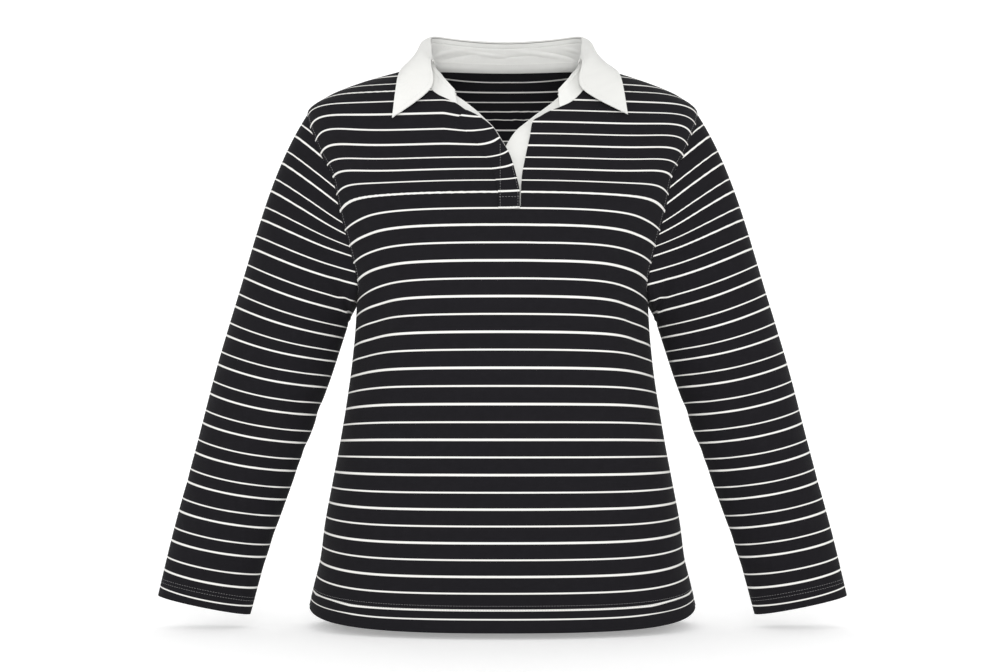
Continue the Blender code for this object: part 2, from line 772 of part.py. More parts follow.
def cloth_wall(name, patch, wall, finish, closed=False):
    """Builds a closed wall of cloth behind a patch.

    Args:
        name: the piece's name.
        patch: the outside of the cloth.
        wall: the cloth's thickness.
        finish: the piece's colour.
        closed: whether the last column meets the first, as on a sleeve.

    Returns:
        The piece's object.
    """
    rows, columns = patch.points.shape[:2]
    spans = columns if closed else columns - 1
    form = bmesh.new()
    outside = {}
    inside = {}
    open_edges = set()

    def vertex(store, place, depth):
        if place not in store:
            store[place] = form.verts.new(patch.points[place] - patch.normals[place] * depth)
        return store[place]

    for row in range(rows - 1):
        for start in range(spans):
            if (row, start) in patch.missing:
                continue
            end = (start + 1) % columns
            square = ((row, start), (row, end), (row + 1, end), (row + 1, start))
            out = [vertex(outside, place, 0.0) for place in square]
            back = [vertex(inside, place, wall) for place in square]
            form.faces.new((out[0], out[1], out[2]))
            form.faces.new((out[0], out[2], out[3]))
            form.faces.new((back[2], back[1], back[0]))
            form.faces.new((back[3], back[2], back[0]))
            for a, b in zip(square, square[1:] + square[:1]):
                if (b, a) in open_edges:
                    open_edges.remove((b, a))
                else:
                    open_edges.add((a, b))
    for a, b in sorted(open_edges):
        form.faces.new((outside[a], inside[a], inside[b]))
        form.faces.new((outside[a], inside[b], outside[b]))
    bmesh.ops.recalc_face_normals(form, faces=form.faces)
    mesh = bpy.data.meshes.new(name)
    form.to_mesh(mesh)
    form.free()
    mesh.shade_smooth()
    mesh.set_sharp_from_angle(angle=math.radians(40))
    mesh.materials.append(plain_material(f"{name}_{finish.name}", finish))
    piece = bpy.data.objects.new(name, mesh)
    bpy.data.collections[SHIRT].objects.link(piece)
    return piece


def plain_material(name, finish):
    """A material with a piece's plain colour."""
    material = bpy.data.materials.new(name)
    material.use_nodes = True
    shader = material.node_tree.nodes["Principled BSDF"]
    shader.inputs["Base Color"].default_value = (*finish.colour, 1.0)
    shader.inputs["Roughness"].default_value = finish.roughness
    shader.inputs["Metallic"].default_value = 0.0
    return material


def build_shirt():
    """Cuts and sews every piece of the shirt."""
    for thing in list(bpy.data.objects):
        bpy.data.objects.remove(thing)
    bpy.context.scene.collection.children.link(bpy.data.collections.new(SHIRT))
    heights = side_heights()
    slit = SIDE_ROWS + SLIT_STEP
    neck = SIDE_ROWS + ARMHOLE_ROWS + 1 - len(BACK_NECK)
    front = panel(heights, front_ends(), FRONT_INSET, -1, FRONT_COLUMNS, slit)
    back = panel(heights, back_ends(), BACK_INSET, 1, BACK_COLUMNS, neck)
    cloth_wall("front", front, JERSEY, STRIPED_JERSEY)
    cloth_wall("back", back, JERSEY, STRIPED_JERSEY)
    for name, side in (("sleeve_right", -1), ("sleeve_left", 1)):
        patch = sleeve(armhole_seam(front, back, side), side)
        cloth_wall(name, patch, JERSEY, STRIPED_JERSEY, closed=True)
    neckline = neck_seam(front, back)
    stand_patch = stand(neckline)
    cloth_wall("collar_stand", stand_patch, STAND_WALL, WHITE_TWILL)
    cloth_wall("collar_leaf", leaf(stand_patch), LEAF_WALL, WHITE_TWILL)
    cloth_wall("neck_tape", tape(neckline, stand_patch), THIN_WALL, WHITE_TWILL)
    cloth_wall("placket_overlap", strip(OVERLAP, STRIP_COLUMNS), OVERLAP_WALL, STRIPED_JERSEY)
    cloth_wall("placket_facing", strip(FACING, STRIP_COLUMNS), THIN_WALL, WHITE_TWILL)
    cloth_wall("placket_underlap", strip(UNDERLAP, STRIP_COLUMNS), TWILL, WHITE_TWILL)


build_shirt()
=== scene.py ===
"""Looks of a long-sleeved striped polo shirt: fine cloth, stripes, seams, stitches and light.

Metres, +Z up. The front faces -Y and the wearer's left is +X. The form's tables repeat the sizes of
the part, so each fine shell lies on the solid that it stands for.
"""

from __future__ import annotations

import logging
import math
from dataclasses import dataclass, field
from enum import Enum
from typing import NamedTuple, Sequence

import bpy
import numpy as np
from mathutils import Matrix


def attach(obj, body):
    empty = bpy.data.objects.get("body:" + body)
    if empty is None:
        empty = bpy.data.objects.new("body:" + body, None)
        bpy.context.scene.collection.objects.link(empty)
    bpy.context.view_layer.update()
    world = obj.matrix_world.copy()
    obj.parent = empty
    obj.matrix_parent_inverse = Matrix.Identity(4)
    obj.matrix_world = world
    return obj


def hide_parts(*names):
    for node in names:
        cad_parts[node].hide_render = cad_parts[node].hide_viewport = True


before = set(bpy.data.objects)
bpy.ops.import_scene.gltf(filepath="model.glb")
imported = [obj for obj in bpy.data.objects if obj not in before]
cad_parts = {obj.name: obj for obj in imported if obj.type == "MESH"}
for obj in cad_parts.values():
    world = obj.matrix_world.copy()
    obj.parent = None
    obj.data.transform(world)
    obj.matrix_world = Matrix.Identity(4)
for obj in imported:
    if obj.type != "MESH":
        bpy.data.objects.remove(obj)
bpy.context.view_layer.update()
LOG = logging.getLogger("striped_polo_shirt")

SIDE_ROWS = 12
ARMHOLE_ROWS = 20
TOP_ROW = SIDE_ROWS + ARMHOLE_ROWS
DENSITY = 4              # fine rows for each row of the tables
SEAM_GAP = 0.0003
LAYER_GAP = 0.0005
JERSEY = 0.0016
TWILL = 0.0016
STAND_WALL = 0.0022
LEAF_WALL = 0.0018
THIN_WALL = 0.0010
OVERLAP_WALL = 0.0012


class Section(NamedTuple):
    """A level cut through the filled body, a superellipse that may sit off the middle."""

    height: float
    half_width: float
    front: float
    back: float
    shift: float


ROUNDNESS = 2.2
BODY = (
    Section(-0.655, 0.2350, 0.125, 0.105, 0.0),
    Section(-0.628, 0.2290, 0.124, 0.105, 0.0),
    Section(-0.600, 0.2218, 0.122, 0.106, 0.0),
    Section(-0.569, 0.2145, 0.120, 0.106, 0.0),
    Section(-0.533, 0.2100, 0.118, 0.105, 0.0),
    Section(-0.480, 0.2003, 0.115, 0.101, 0.0),
    Section(-0.440, 0.1927, 0.112, 0.097, 0.0),
    Section(-0.391, 0.1845, 0.112, 0.092, 0.0),
    Section(-0.338, 0.1772, 0.115, 0.090, 0.0),
    Section(-0.300, 0.1735, 0.119, 0.092, 0.0),
    Section(-0.268, 0.1720, 0.122, 0.095, 0.0),
    Section(-0.242, 0.1795, 0.122, 0.098, 0.0),
    Section(-0.208, 0.1895, 0.121, 0.100, 0.0),
    Section(-0.180, 0.1975, 0.118, 0.101, 0.0),
    Section(-0.157, 0.2030, 0.115, 0.102, 0.0),
    Section(-0.132, 0.2090, 0.109, 0.102, 0.0),
    Section(-0.099, 0.2225, 0.101, 0.101, 0.0),
    Section(-0.079, 0.2280, 0.096, 0.099, 0.0),
    Section(-0.060, 0.2315, 0.090, 0.097, 0.0),
    Section(-0.046, 0.2305, 0.084, 0.095, 0.0),
    Section(-0.028, 0.2080, 0.076, 0.091, 0.001),
    Section(-0.014, 0.1742, 0.069, 0.087, 0.002),
    Section(-0.001, 0.1310, 0.062, 0.081, 0.0045),
    Section(0.005, 0.1110, 0.059, 0.078, 0.0045),
    Section(0.009, 0.0975, 0.057, 0.076, 0.0045),
    Section(0.0115, 0.0890, 0.056, 0.074, 0.0045),
    Section(0.016, 0.0865, 0.054, 0.071, 0.0045),
    Section(0.024, 0.0830, 0.050, 0.067, 0.0045),
    Section(0.035, 0.0770, 0.046, 0.062, 0.0045),
)
NECK_MIDDLE = 0.0045
SHOULDER_HEIGHT = -0.046
UNDERARM_HEIGHT = -0.268
VENT_HEIGHT = -0.595
HEM_SIDE = -0.628
HEM_MIDDLE = -0.645
HEM_CURVE = 3.0
VENT_ROWS = 2
VENT_OPENING = 11.0      # how far the front's hem corners hang clear of the back's, in degrees


class Armhole(NamedTuple):
    """How far the armhole seam lies in from the side of the body, in degrees."""

    height: float
    front: float
    back: float


ARMHOLE = (
    Armhole(-0.268, 0.0, 0.0),
    Armhole(-0.2655, 8.0, 7.0),
    Armhole(-0.258, 16.5, 14.0),
    Armhole(-0.242, 21.0, 18.0),
    Armhole(-0.208, 22.0, 19.0),
    Armhole(-0.160, 21.2, 18.2),
    Armhole(-0.125, 22.0, 17.5),
    Armhole(-0.099, 18.8, 15.3),
    Armhole(-0.075, 15.5, 12.0),
    Armhole(-0.058, 10.5, 8.0),
    Armhole(-0.0495, 5.0, 4.0),
    Armhole(-0.046, 0.0, 0.0),
)


class Opening(NamedTuple):
    """The inner ends of one row of the front, the wearer's right being -X."""

    right_x: float
    right_z: float
    left_x: float
    left_z: float


FRONT_OPENING = (
    Opening(-0.0050, -0.2500, 0.0400, -0.2500),
    Opening(0.0060, -0.2230, 0.0330, -0.2230),
    Opening(0.0150, -0.1970, 0.0260, -0.1970),
    Opening(0.0192, -0.1720, 0.0204, -0.1720),
    Opening(0.0190, -0.1550, 0.0208, -0.1540),
    Opening(0.0163, -0.1410, 0.0218, -0.1370),
    Opening(0.0116, -0.1230, 0.0246, -0.1210),
    Opening(0.0071, -0.1107, 0.0273, -0.1076),
    Opening(-0.0012, -0.0962, 0.0306, -0.0922),
    Opening(-0.0114, -0.0804, 0.0341, -0.0735),
    Opening(-0.0263, -0.0680, 0.0424, -0.0675),
    Opening(-0.0400, -0.0605, 0.0520, -0.0615),
    Opening(-0.0513, -0.0520, 0.0645, -0.0560),
    Opening(-0.0630, -0.0455, 0.0765, -0.0500),
    Opening(-0.0745, -0.0390, 0.0860, -0.0415),
    Opening(-0.0826, -0.0300, 0.0924, -0.0320),
    Opening(-0.0852, -0.0175, 0.0945, -0.0190),
    Opening(-0.0862, -0.0045, 0.0952, -0.0055),
    Opening(-0.0862, 0.0040, 0.0952, 0.0035),
    Opening(-0.0857, 0.0090, 0.0947, 0.0090),
    Opening(-0.0845, 0.0115, 0.0935, 0.0115),
)
SLIT_STEP = 3
STAND_STEP = 12


class NeckStep(NamedTuple):
    """The inner end of one row of the back, x from the neck's middle."""

    x: float
    z: float


BACK_NECK = (
    NeckStep(0.003, 0.0230),
    NeckStep(0.017, 0.0229),
    NeckStep(0.034, 0.0225),
    NeckStep(0.050, 0.0215),
    NeckStep(0.064, 0.0200),
    NeckStep(0.076, 0.0175),
    NeckStep(0.084, 0.0145),
    NeckStep(0.089, 0.0115),
)


class ArmSection(NamedTuple):
    """A cut across a sleeve through its outer and inner edges, x away from the body."""

    outer_x: float
    outer_z: float
    inner_x: float
    inner_z: float
    half_depth: float
    middle_y: float


ARM = (
    ArmSection(0.3110, -0.2560, 0.1830, -0.2960, 0.0470, 0.0000),
    ArmSection(0.3354, -0.3380, 0.2093, -0.3765, 0.0450, -0.0010),
    ArmSection(0.3626, -0.4440, 0.2472, -0.4790, 0.0400, -0.0040),
    ArmSection(0.3905, -0.5510, 0.2825, -0.5836, 0.0335, -0.0090),
    ArmSection(0.4050, -0.6145, 0.2965, -0.6370, 0.0270, -0.0130),
)
CAP_LEAVE = (0.55, 0.0, -0.84)
ARM_ALONG = (0.36, 0.0, -0.93)
CAP_RINGS = 5
ARM_RINGS = 8


class Fold(NamedTuple):
    """A soft fold of a panel, a trough or a ridge along its length."""

    x: float
    z: float
    half_length: float
    half_width: float
    rise: float
    lean: float


class CollarStep(NamedTuple):
    """The collar over one step of the neckline, x from the neck's middle."""

    fold: tuple[float, float, float]
    knee: tuple[float, float, float]
    edge: tuple[float, float, float]


LEAF = (
    CollarStep((0.0030, 0.0600, 0.0520), (0.0030, 0.0770, 0.0330), (0.0040, 0.0860, 0.0010)),
    CollarStep((0.0180, 0.0595, 0.0522), (0.0190, 0.0765, 0.0330), (0.0230, 0.0855, 0.0008)),
    CollarStep((0.0360, 0.0565, 0.0525), (0.0380, 0.0740, 0.0335), (0.0480, 0.0835, 0.0000)),
    CollarStep((0.0530, 0.0515, 0.0526), (0.0580, 0.0680, 0.0342), (0.0730, 0.0785, 0.0000)),
    CollarStep((0.0670, 0.0445, 0.0523), (0.0755, 0.0580, 0.0350), (0.0940, 0.0690, 0.0005)),
    CollarStep((0.0790, 0.0345, 0.0513), (0.0895, 0.0440, 0.0352), (0.1100, 0.0560, 0.0020)),
    CollarStep((0.0865, 0.0205, 0.0485), (0.1000, 0.0270, 0.0340), (0.1185, 0.0380, 0.0035)),
    CollarStep((0.0905, 0.0060, 0.0440), (0.1055, 0.0080, 0.0300), (0.1205, 0.0170, 0.0050)),
    CollarStep((0.0912, -0.0100, 0.0360), (0.1070, -0.0130, 0.0230), (0.1215, -0.0080, 0.0045)),
    CollarStep((0.0904, -0.0220, 0.0275), (0.1075, -0.0340, 0.0140), (0.1220, -0.0350, 0.0000)),
    CollarStep((0.0895, -0.0350, 0.0165), (0.1060, -0.0590, 0.0000), (0.1250, -0.0665, -0.0205)),
    CollarStep((0.0862, -0.0470, 0.0055), (0.0866, -0.0830, -0.0340), (0.1292, -0.0860, -0.0675)),
)
LEAF_ROLL = np.array((0.55, 0.55, 0.25))
TIP_SPREAD = np.array((0.0080, 0.0, 0.0040))    # the wearer's left point stands further out
STAND_CREASES = (
    Fold(-0.34, 0.50, 0.10, 0.07, -0.0012, 1.6),
    Fold(-0.26, 0.42, 0.09, 0.06, 0.0009, 1.8),
    Fold(-0.12, 0.55, 0.12, 0.05, -0.0007, -0.8),
    Fold(0.05, 0.48, 0.14, 0.06, 0.0007, 0.5),
    Fold(0.20, 0.52, 0.10, 0.06, -0.0010, -1.5),
    Fold(0.31, 0.44, 0.10, 0.06, 0.0011, -1.8),
    Fold(0.38, 0.58, 0.07, 0.05, -0.0009, -1.2),
    Fold(-0.86, 0.50, 0.02, 0.60, -0.0006, 0.0),
    Fold(0.86, 0.50, 0.02, 0.60, -0.0006, 0.0),
    Fold(0.93, 0.50, 0.015, 0.60, 0.0006, 0.0),
)
STAND_FRONT = (
    (0.0815, -0.0580, -0.0040),
    (0.0755, -0.0670, -0.0135),
    (0.0680, -0.0755, -0.0235),
    (0.0590, -0.0815, -0.0345),
)


class StripStep(NamedTuple):
    """Both edges of a placket strip, and how deep its free edge lies under the cloth's outside."""

    sewn_x: float
    sewn_z: float
    free_x: float
    free_z: float
    sink: float


FACING = (
    StripStep(0.0040, -0.1460, 0.0169, -0.1405, 0.0023),
    StripStep(0.0000, -0.1310, 0.0124, -0.1226, 0.0023),
    StripStep(-0.0040, -0.1210, 0.0080, -0.1102, 0.0024),
    StripStep(-0.0120, -0.1070, 0.0000, -0.0954, 0.0026),
    StripStep(-0.0220, -0.0920, -0.0099, -0.0792, 0.0030),
    StripStep(-0.0340, -0.0790, -0.0225, -0.0655, 0.0035),
    StripStep(-0.0430, -0.0720, -0.0310, -0.0565, 0.0040),
    StripStep(-0.0500, -0.0650, -0.0425, -0.0465, 0.0040),
    StripStep(-0.0585, -0.0560, -0.0530, -0.0385, 0.0042),
)
UNDERLAP = (
    StripStep(0.0280, -0.1760, -0.0030, -0.1760, 0.0070),
    StripStep(0.0285, -0.1560, -0.0040, -0.1570, 0.0070),
    StripStep(0.0300, -0.1380, -0.0040, -0.1390, 0.0070),
    StripStep(0.0325, -0.1240, -0.0030, -0.1240, 0.0070),
    StripStep(0.0355, -0.1110, 0.0000, -0.1110, 0.0070),
    StripStep(0.0385, -0.0960, 0.0045, -0.0985, 0.0070),
    StripStep(0.0430, -0.0820, 0.0150, -0.0815, 0.0075),
    StripStep(0.0480, -0.0755, 0.0280, -0.0695, 0.0080),
    StripStep(0.0560, -0.0700, 0.0410, -0.0585, 0.0075),
    StripStep(0.0660, -0.0650, 0.0565, -0.0465, 0.0060),
    StripStep(0.0735, -0.0560, 0.0665, -0.0370, 0.0055),
)
SEWN_SINK = 0.0023
OVERLAP_RISE = -(LAYER_GAP + OVERLAP_WALL)
OVERLAP = (
    StripStep(-0.0045, -0.1750, 0.0192, -0.1750, OVERLAP_RISE),
    StripStep(-0.0046, -0.1580, 0.0190, -0.1550, OVERLAP_RISE),
    StripStep(-0.0068, -0.1460, 0.0163, -0.1410, OVERLAP_RISE),
    StripStep(-0.0110, -0.1305, 0.0116, -0.1230, OVERLAP_RISE),
    StripStep(-0.0155, -0.1195, 0.0071, -0.1107, OVERLAP_RISE),
    StripStep(-0.0230, -0.1070, -0.0012, -0.0962, OVERLAP_RISE),
    StripStep(-0.0320, -0.0940, -0.0114, -0.0804, OVERLAP_RISE),
    StripStep(-0.0430, -0.0820, -0.0263, -0.0680, OVERLAP_RISE),
    StripStep(-0.0530, -0.0720, -0.0400, -0.0605, OVERLAP_RISE),
)
OVERLAP_HEIGHTS = (-0.175, -0.153, -0.140, -0.124, -0.110, -0.095, -0.080, -0.063)
OVERLAP_LIFTS = (0.0006, 0.0010, 0.0020, 0.0048, 0.0066, 0.0090, 0.0048, 0.0)
TAPE_BELOW = 0.0045
TAPE_ABOVE = 0.0060


class StripeMark(NamedTuple):
    """The height at which a stripe crosses the middle of the front."""

    height: float
    number: float


STRIPE_MARKS = (
    StripeMark(-0.6450, -0.90),
    StripeMark(-0.6292, 0.0),
    StripeMark(-0.6215, 0.93),
    StripeMark(-0.6185, 1.07),
    StripeMark(-0.5646, 4.0),
    StripeMark(-0.4901, 8.0),
    StripeMark(-0.4118, 12.0),
    StripeMark(-0.3312, 16.0),
    StripeMark(-0.2528, 20.0),
    StripeMark(-0.1930, 23.0),
    StripeMark(-0.1558, 25.0),
    StripeMark(-0.1159, 28.0),
    StripeMark(-0.0599, 32.0),
    StripeMark(-0.0465, 33.0),
    StripeMark(-0.0336, 34.0),
    StripeMark(-0.0246, 35.0),
    StripeMark(0.0350, 40.3),
)


class Droop(NamedTuple):
    """How much lower the stripes run at the side of the body than in the middle.

    The bend spreads over the side, and the drop comes close to the seam.
    """

    height: float
    bend: float
    drop: float


DROOP = (
    Droop(-0.645, -0.0150, 0.0),
    Droop(-0.450, 0.0, 0.0),
    Droop(-0.300, 0.0140, 0.0),
    Droop(-0.250, 0.0220, 0.0),
    Droop(-0.190, 0.0250, 0.0),
    Droop(-0.150, -0.0040, 0.0250),
    Droop(-0.120, -0.0260, 0.0420),
    Droop(-0.080, -0.0260, 0.0400),
    Droop(-0.045, -0.0120, 0.0160),
    Droop(0.035, 0.0, 0.0),
)
BEND_POWER = 6
DROP_POWER = 14
SIDE_MISMATCH = 0.0042   # how much lower the back's stripes meet the side seam


class Stretch(NamedTuple):
    """By how many stripes the wearer's right chest lags, where its cloth hangs longer."""

    height: float
    lag: float


RIGHT_CHEST = (
    Stretch(-0.125, 0.0),
    Stretch(-0.114, 0.03),
    Stretch(-0.0986, 0.18),
    Stretch(-0.0843, 0.38),
    Stretch(-0.066, 0.72),
    Stretch(-0.049, 0.95),
    Stretch(-0.030, 1.0),
)


class SleeveTilt(NamedTuple):
    """How steeply the stripes fall towards the body, and how far they sag in the sleeve's front."""

    height: float
    degrees: float
    sag: float


SLEEVE_TILT = (
    SleeveTilt(-0.640, 13.0, 0.0018),
    SleeveTilt(-0.600, 12.0, 0.0024),
    SleeveTilt(-0.550, 10.5, 0.0026),
    SleeveTilt(-0.450, 11.0, 0.0045),
    SleeveTilt(-0.360, 12.0, 0.0060),
    SleeveTilt(-0.320, 13.0, 0.0060),
    SleeveTilt(-0.287, 15.5, 0.0060),
    SleeveTilt(-0.250, 18.0, 0.0055),
    SleeveTilt(-0.184, 20.5, 0.0045),
    SleeveTilt(-0.160, 24.0, 0.0035),
    SleeveTilt(-0.130, 31.0, 0.0020),
    SleeveTilt(-0.070, 40.0, 0.0),
    SleeveTilt(-0.040, 43.0, 0.0),
)
SLEEVE_PITCH = 0.0178
SLEEVE_PAIRING = 0.085   # how far the thick stripes lie off the middle between the thin ones
LAST_STRIPE = 0.0128     # from the cuff's edge to the first stripe


FRONT_FOLDS = (
    Fold(-0.140, -0.290, 0.060, 0.014, -0.0030, 0.20),
    Fold(0.146, -0.285, 0.062, 0.014, -0.0030, -0.22),
    Fold(-0.118, -0.330, 0.070, 0.018, 0.0022, 0.12),
    Fold(0.122, -0.330, 0.070, 0.018, 0.0022, -0.12),
    Fold(-0.152, -0.205, 0.040, 0.014, -0.0025, -0.45),
    Fold(0.152, -0.205, 0.040, 0.014, -0.0025, 0.45),
)
FRONT_CREASES = (
    Fold(-0.158, -0.330, 0.050, 0.007, -0.0012, 0.30),
    Fold(0.160, -0.322, 0.044, 0.008, -0.0013, -0.34),
    Fold(-0.100, -0.430, 0.060, 0.016, -0.0014, 0.06),
    Fold(0.092, -0.420, 0.070, 0.018, -0.0013, -0.05),
    Fold(-0.060, -0.530, 0.080, 0.022, 0.0014, 0.02),
    Fold(0.055, -0.540, 0.070, 0.020, 0.0012, -0.03),
    Fold(-0.150, -0.540, 0.060, 0.016, -0.0014, 0.10),
    Fold(0.150, -0.530, 0.068, 0.017, -0.0013, -0.08),
    Fold(-0.010, -0.260, 0.050, 0.020, -0.0010, 0.10),
    Fold(0.048, -0.225, 0.040, 0.012, -0.0012, -0.30),
)
BACK_CREASES = (
    Fold(-0.145, -0.280, 0.060, 0.012, -0.0028, 0.22),
    Fold(0.142, -0.292, 0.056, 0.013, -0.0026, -0.20),
    Fold(-0.112, -0.350, 0.072, 0.018, 0.0020, 0.10),
    Fold(0.116, -0.340, 0.066, 0.017, 0.0021, -0.12),
    Fold(-0.050, -0.400, 0.080, 0.016, -0.0016, 0.05),
    Fold(0.044, -0.420, 0.090, 0.018, -0.0015, -0.04),
    Fold(-0.150, -0.210, 0.045, 0.012, -0.0020, -0.40),
    Fold(0.150, -0.200, 0.040, 0.012, -0.0022, 0.42),
    Fold(-0.090, -0.540, 0.070, 0.018, 0.0014, 0.05),
    Fold(0.100, -0.530, 0.078, 0.020, 0.0013, -0.06),
)


class Wrinkle(NamedTuple):
    """A fold round a sleeve: its place along it and around it, both as shares, and its size."""

    along: float
    around: float
    half_length: float
    half_width: float
    rise: float
    lean: float


SLEEVE_WRINKLES = (
    Wrinkle(0.12, 0.36, 0.085, 0.011, -0.0026, 0.35),
    Wrinkle(0.17, 0.40, 0.080, 0.010, 0.0018, 0.30),
    Wrinkle(0.20, 0.62, 0.080, 0.011, -0.0024, -0.32),
    Wrinkle(0.40, 0.30, 0.120, 0.012, -0.0018, 0.16),
    Wrinkle(0.46, 0.42, 0.090, 0.010, -0.0022, 0.22),
    Wrinkle(0.51, 0.26, 0.110, 0.011, 0.0014, 0.12),
    Wrinkle(0.44, 0.70, 0.110, 0.012, -0.0020, -0.18),
    Wrinkle(0.56, 0.60, 0.090, 0.010, -0.0019, -0.20),
    Wrinkle(0.63, 0.38, 0.100, 0.010, -0.0014, -0.14),
    Wrinkle(0.74, 0.22, 0.110, 0.010, -0.0013, 0.10),
    Wrinkle(0.80, 0.66, 0.100, 0.011, -0.0014, 0.12),
    Wrinkle(0.88, 0.34, 0.090, 0.009, -0.0011, -0.10),
)


class SmoothTable:
    """A smooth curve through a table's column that doesn't overshoot its rows."""

    def __init__(self, places: Sequence[float], values: Sequence[float]) -> None:
        self.x = np.asarray(places, float)
        self.y = np.asarray(values, float)
        step = np.diff(self.x)
        slope = np.diff(self.y) / step
        before = 2 * step[1:] + step[:-1]
        after = step[1:] + 2 * step[:-1]
        low, high = slope[:-1], slope[1:]
        turning = low * high <= 0
        low = np.where(turning, 1.0, low)
        high = np.where(turning, 1.0, high)
        inner = np.where(turning, 0.0, (before + after) / (before / low + after / high))
        self.tangent = np.concatenate((slope[:1], inner, slope[-1:]))

    def __call__(self, place: np.ndarray | float) -> np.ndarray:
        """The curve's values at places, held at its ends."""
        place = np.asarray(place, float)
        i = np.clip(np.searchsorted(self.x, place) - 1, 0, len(self.x) - 2)
        width = self.x[i + 1] - self.x[i]
        t = np.clip((place - self.x[i]) / width, 0.0, 1.0)
        swing = t * t * (3 - 2 * t)
        return ((1 - swing) * self.y[i] + swing * self.y[i + 1]
                + width * t * (1 - t) ** 2 * self.tangent[i]
                + width * t * t * (t - 1) * self.tangent[i + 1])


def column(table: Sequence[NamedTuple], name: str) -> SmoothTable:
    """A smooth curve of one column of a table over its heights."""
    return SmoothTable([row.height for row in table], [getattr(row, name) for row in table])


def unit(vectors: np.ndarray) -> np.ndarray:
    """The vectors at length one."""
    return vectors / np.maximum(np.linalg.norm(vectors, axis=-1, keepdims=True), 1e-12)


def through(knots: np.ndarray, places: np.ndarray) -> np.ndarray:
    """Points of the smooth curve through knots, the places counting knots."""
    i = np.clip(places.astype(int), 0, len(knots) - 2)
    t = (places - i).reshape((-1,) + (1,) * (knots.ndim - 1))
    leave = (knots[i + 1] - knots[np.maximum(i - 1, 0)]) / 2
    arrive = (knots[np.minimum(i + 2, len(knots) - 1)] - knots[i]) / 2
    swing = t * t * (3 - 2 * t)
    return ((1 - swing) * knots[i] + swing * knots[i + 1]
            + t * (1 - t) ** 2 * leave + t * t * (t - 1) * arrive)


def fine(count: int, density: int = DENSITY) -> np.ndarray:
    """Places that count knots, several to each knot."""
    return np.linspace(0.0, count - 1, (count - 1) * density + 1)


def grid_normals(points: np.ndarray, closed: bool = False) -> np.ndarray:
    """Directions across a grid of points, without a choice of side."""
    up = np.gradient(points, axis=0)
    if closed:
        around = np.roll(points, -1, axis=1) - np.roll(points, 1, axis=1)
    else:
        around = np.gradient(points, axis=1)
    return unit(np.cross(around, up))


def facing_away(normals: np.ndarray, points: np.ndarray, inside: np.ndarray) -> np.ndarray:
    """The directions, turned where needed so that they point away from inside points."""
    outward = np.sum(normals * (points - inside), axis=-1, keepdims=True)
    return np.where(outward < 0, -normals, normals)


class BodyForm:
    """The filled form of the shirt's body, worked out from its level sections."""

    def __init__(self, sections: Sequence[Section]) -> None:
        self.half_width = column(sections, "half_width")
        self.front = column(sections, "front")
        self.back = column(sections, "back")
        self.shift = column(sections, "shift")

    def points(self, angle: np.ndarray, height: np.ndarray) -> np.ndarray:
        """Points of the outside, the angle going round from the middle of the front."""
        sine, cosine = np.sin(angle), np.cos(angle)
        sideways = np.sign(sine) * np.abs(sine) ** (2 / ROUNDNESS)
        forward = np.sign(cosine) * np.abs(cosine) ** (2 / ROUNDNESS)
        depth = np.where(forward > 0, self.front(height), self.back(height))
        x = self.shift(height) + self.half_width(height) * sideways
        return np.stack((x, -depth * forward, height + 0.0 * angle), axis=-1)

    def normals(self, angle: np.ndarray, height: np.ndarray) -> np.ndarray:
        """Directions straight out of the body."""
        turn = math.radians(1.0)
        climb = 0.0015
        around = self.points(angle + turn, height) - self.points(angle - turn, height)
        upward = self.points(angle, height + climb) - self.points(angle, height - climb)
        return unit(np.cross(around, upward))

    def angle_at(self, x: np.ndarray, height: np.ndarray) -> np.ndarray:
        """The angle of the front's point at a width and a height."""
        share = np.clip((x - self.shift(height)) / self.half_width(height), -1.0, 1.0)
        return np.arcsin(np.sign(share) * np.abs(share) ** (ROUNDNESS / 2))


BODY_FORM = BodyForm(BODY)


class StripeCount:
    """Numbers the stripes of the body's cloth, so that each whole number is one stripe."""

    def __init__(self) -> None:
        self.heights = [mark.height for mark in STRIPE_MARKS]
        self.numbers = [mark.number for mark in STRIPE_MARKS]
        self.bend = column(DROOP, "bend")
        self.drop = column(DROOP, "drop")
        self.lag = column(RIGHT_CHEST, "lag")

    def at(self, angle: np.ndarray, height: np.ndarray, lowered: float = 0.0) -> np.ndarray:
        """The stripe number at points of the body.

        Args:
            angle: the angle round the body.
            height: the height.
            lowered: how much lower than the front's the stripes run at the sides.
        """
        side = np.abs(np.sin(angle))
        level = (height + (self.bend(height) + lowered) * side ** BEND_POWER
                 + self.drop(height) * side ** DROP_POWER)
        front_right = np.clip(np.sin(-angle) * 4.0, 0.0, 1.0) * (np.cos(angle) > 0)
        return np.interp(level, self.heights, self.numbers) - self.lag(height) * front_right


STRIPES = StripeCount()


def fold_rise(folds: Sequence[Fold], points: np.ndarray) -> np.ndarray:
    """How far soft folds lift or sink a panel at its points."""
    total = np.zeros(points.shape[:-1])
    for fold in folds:
        along = (points[..., 2] - fold.z) / fold.half_length
        lean = fold.lean * (points[..., 2] - fold.z)
        across = (points[..., 0] - fold.x - lean) / fold.half_width
        total += fold.rise * np.exp(-along ** 2 - across ** 2)
    return total


class Weave(Enum):
    """How a cloth is made, which sets its fine relief."""

    JERSEY = "jersey"
    TWILL = "twill"
    TAPE = "tape"


class Held(Enum):
    DRAPED = "draped"
    HUNG = "hung"
    FOLDED = "folded"


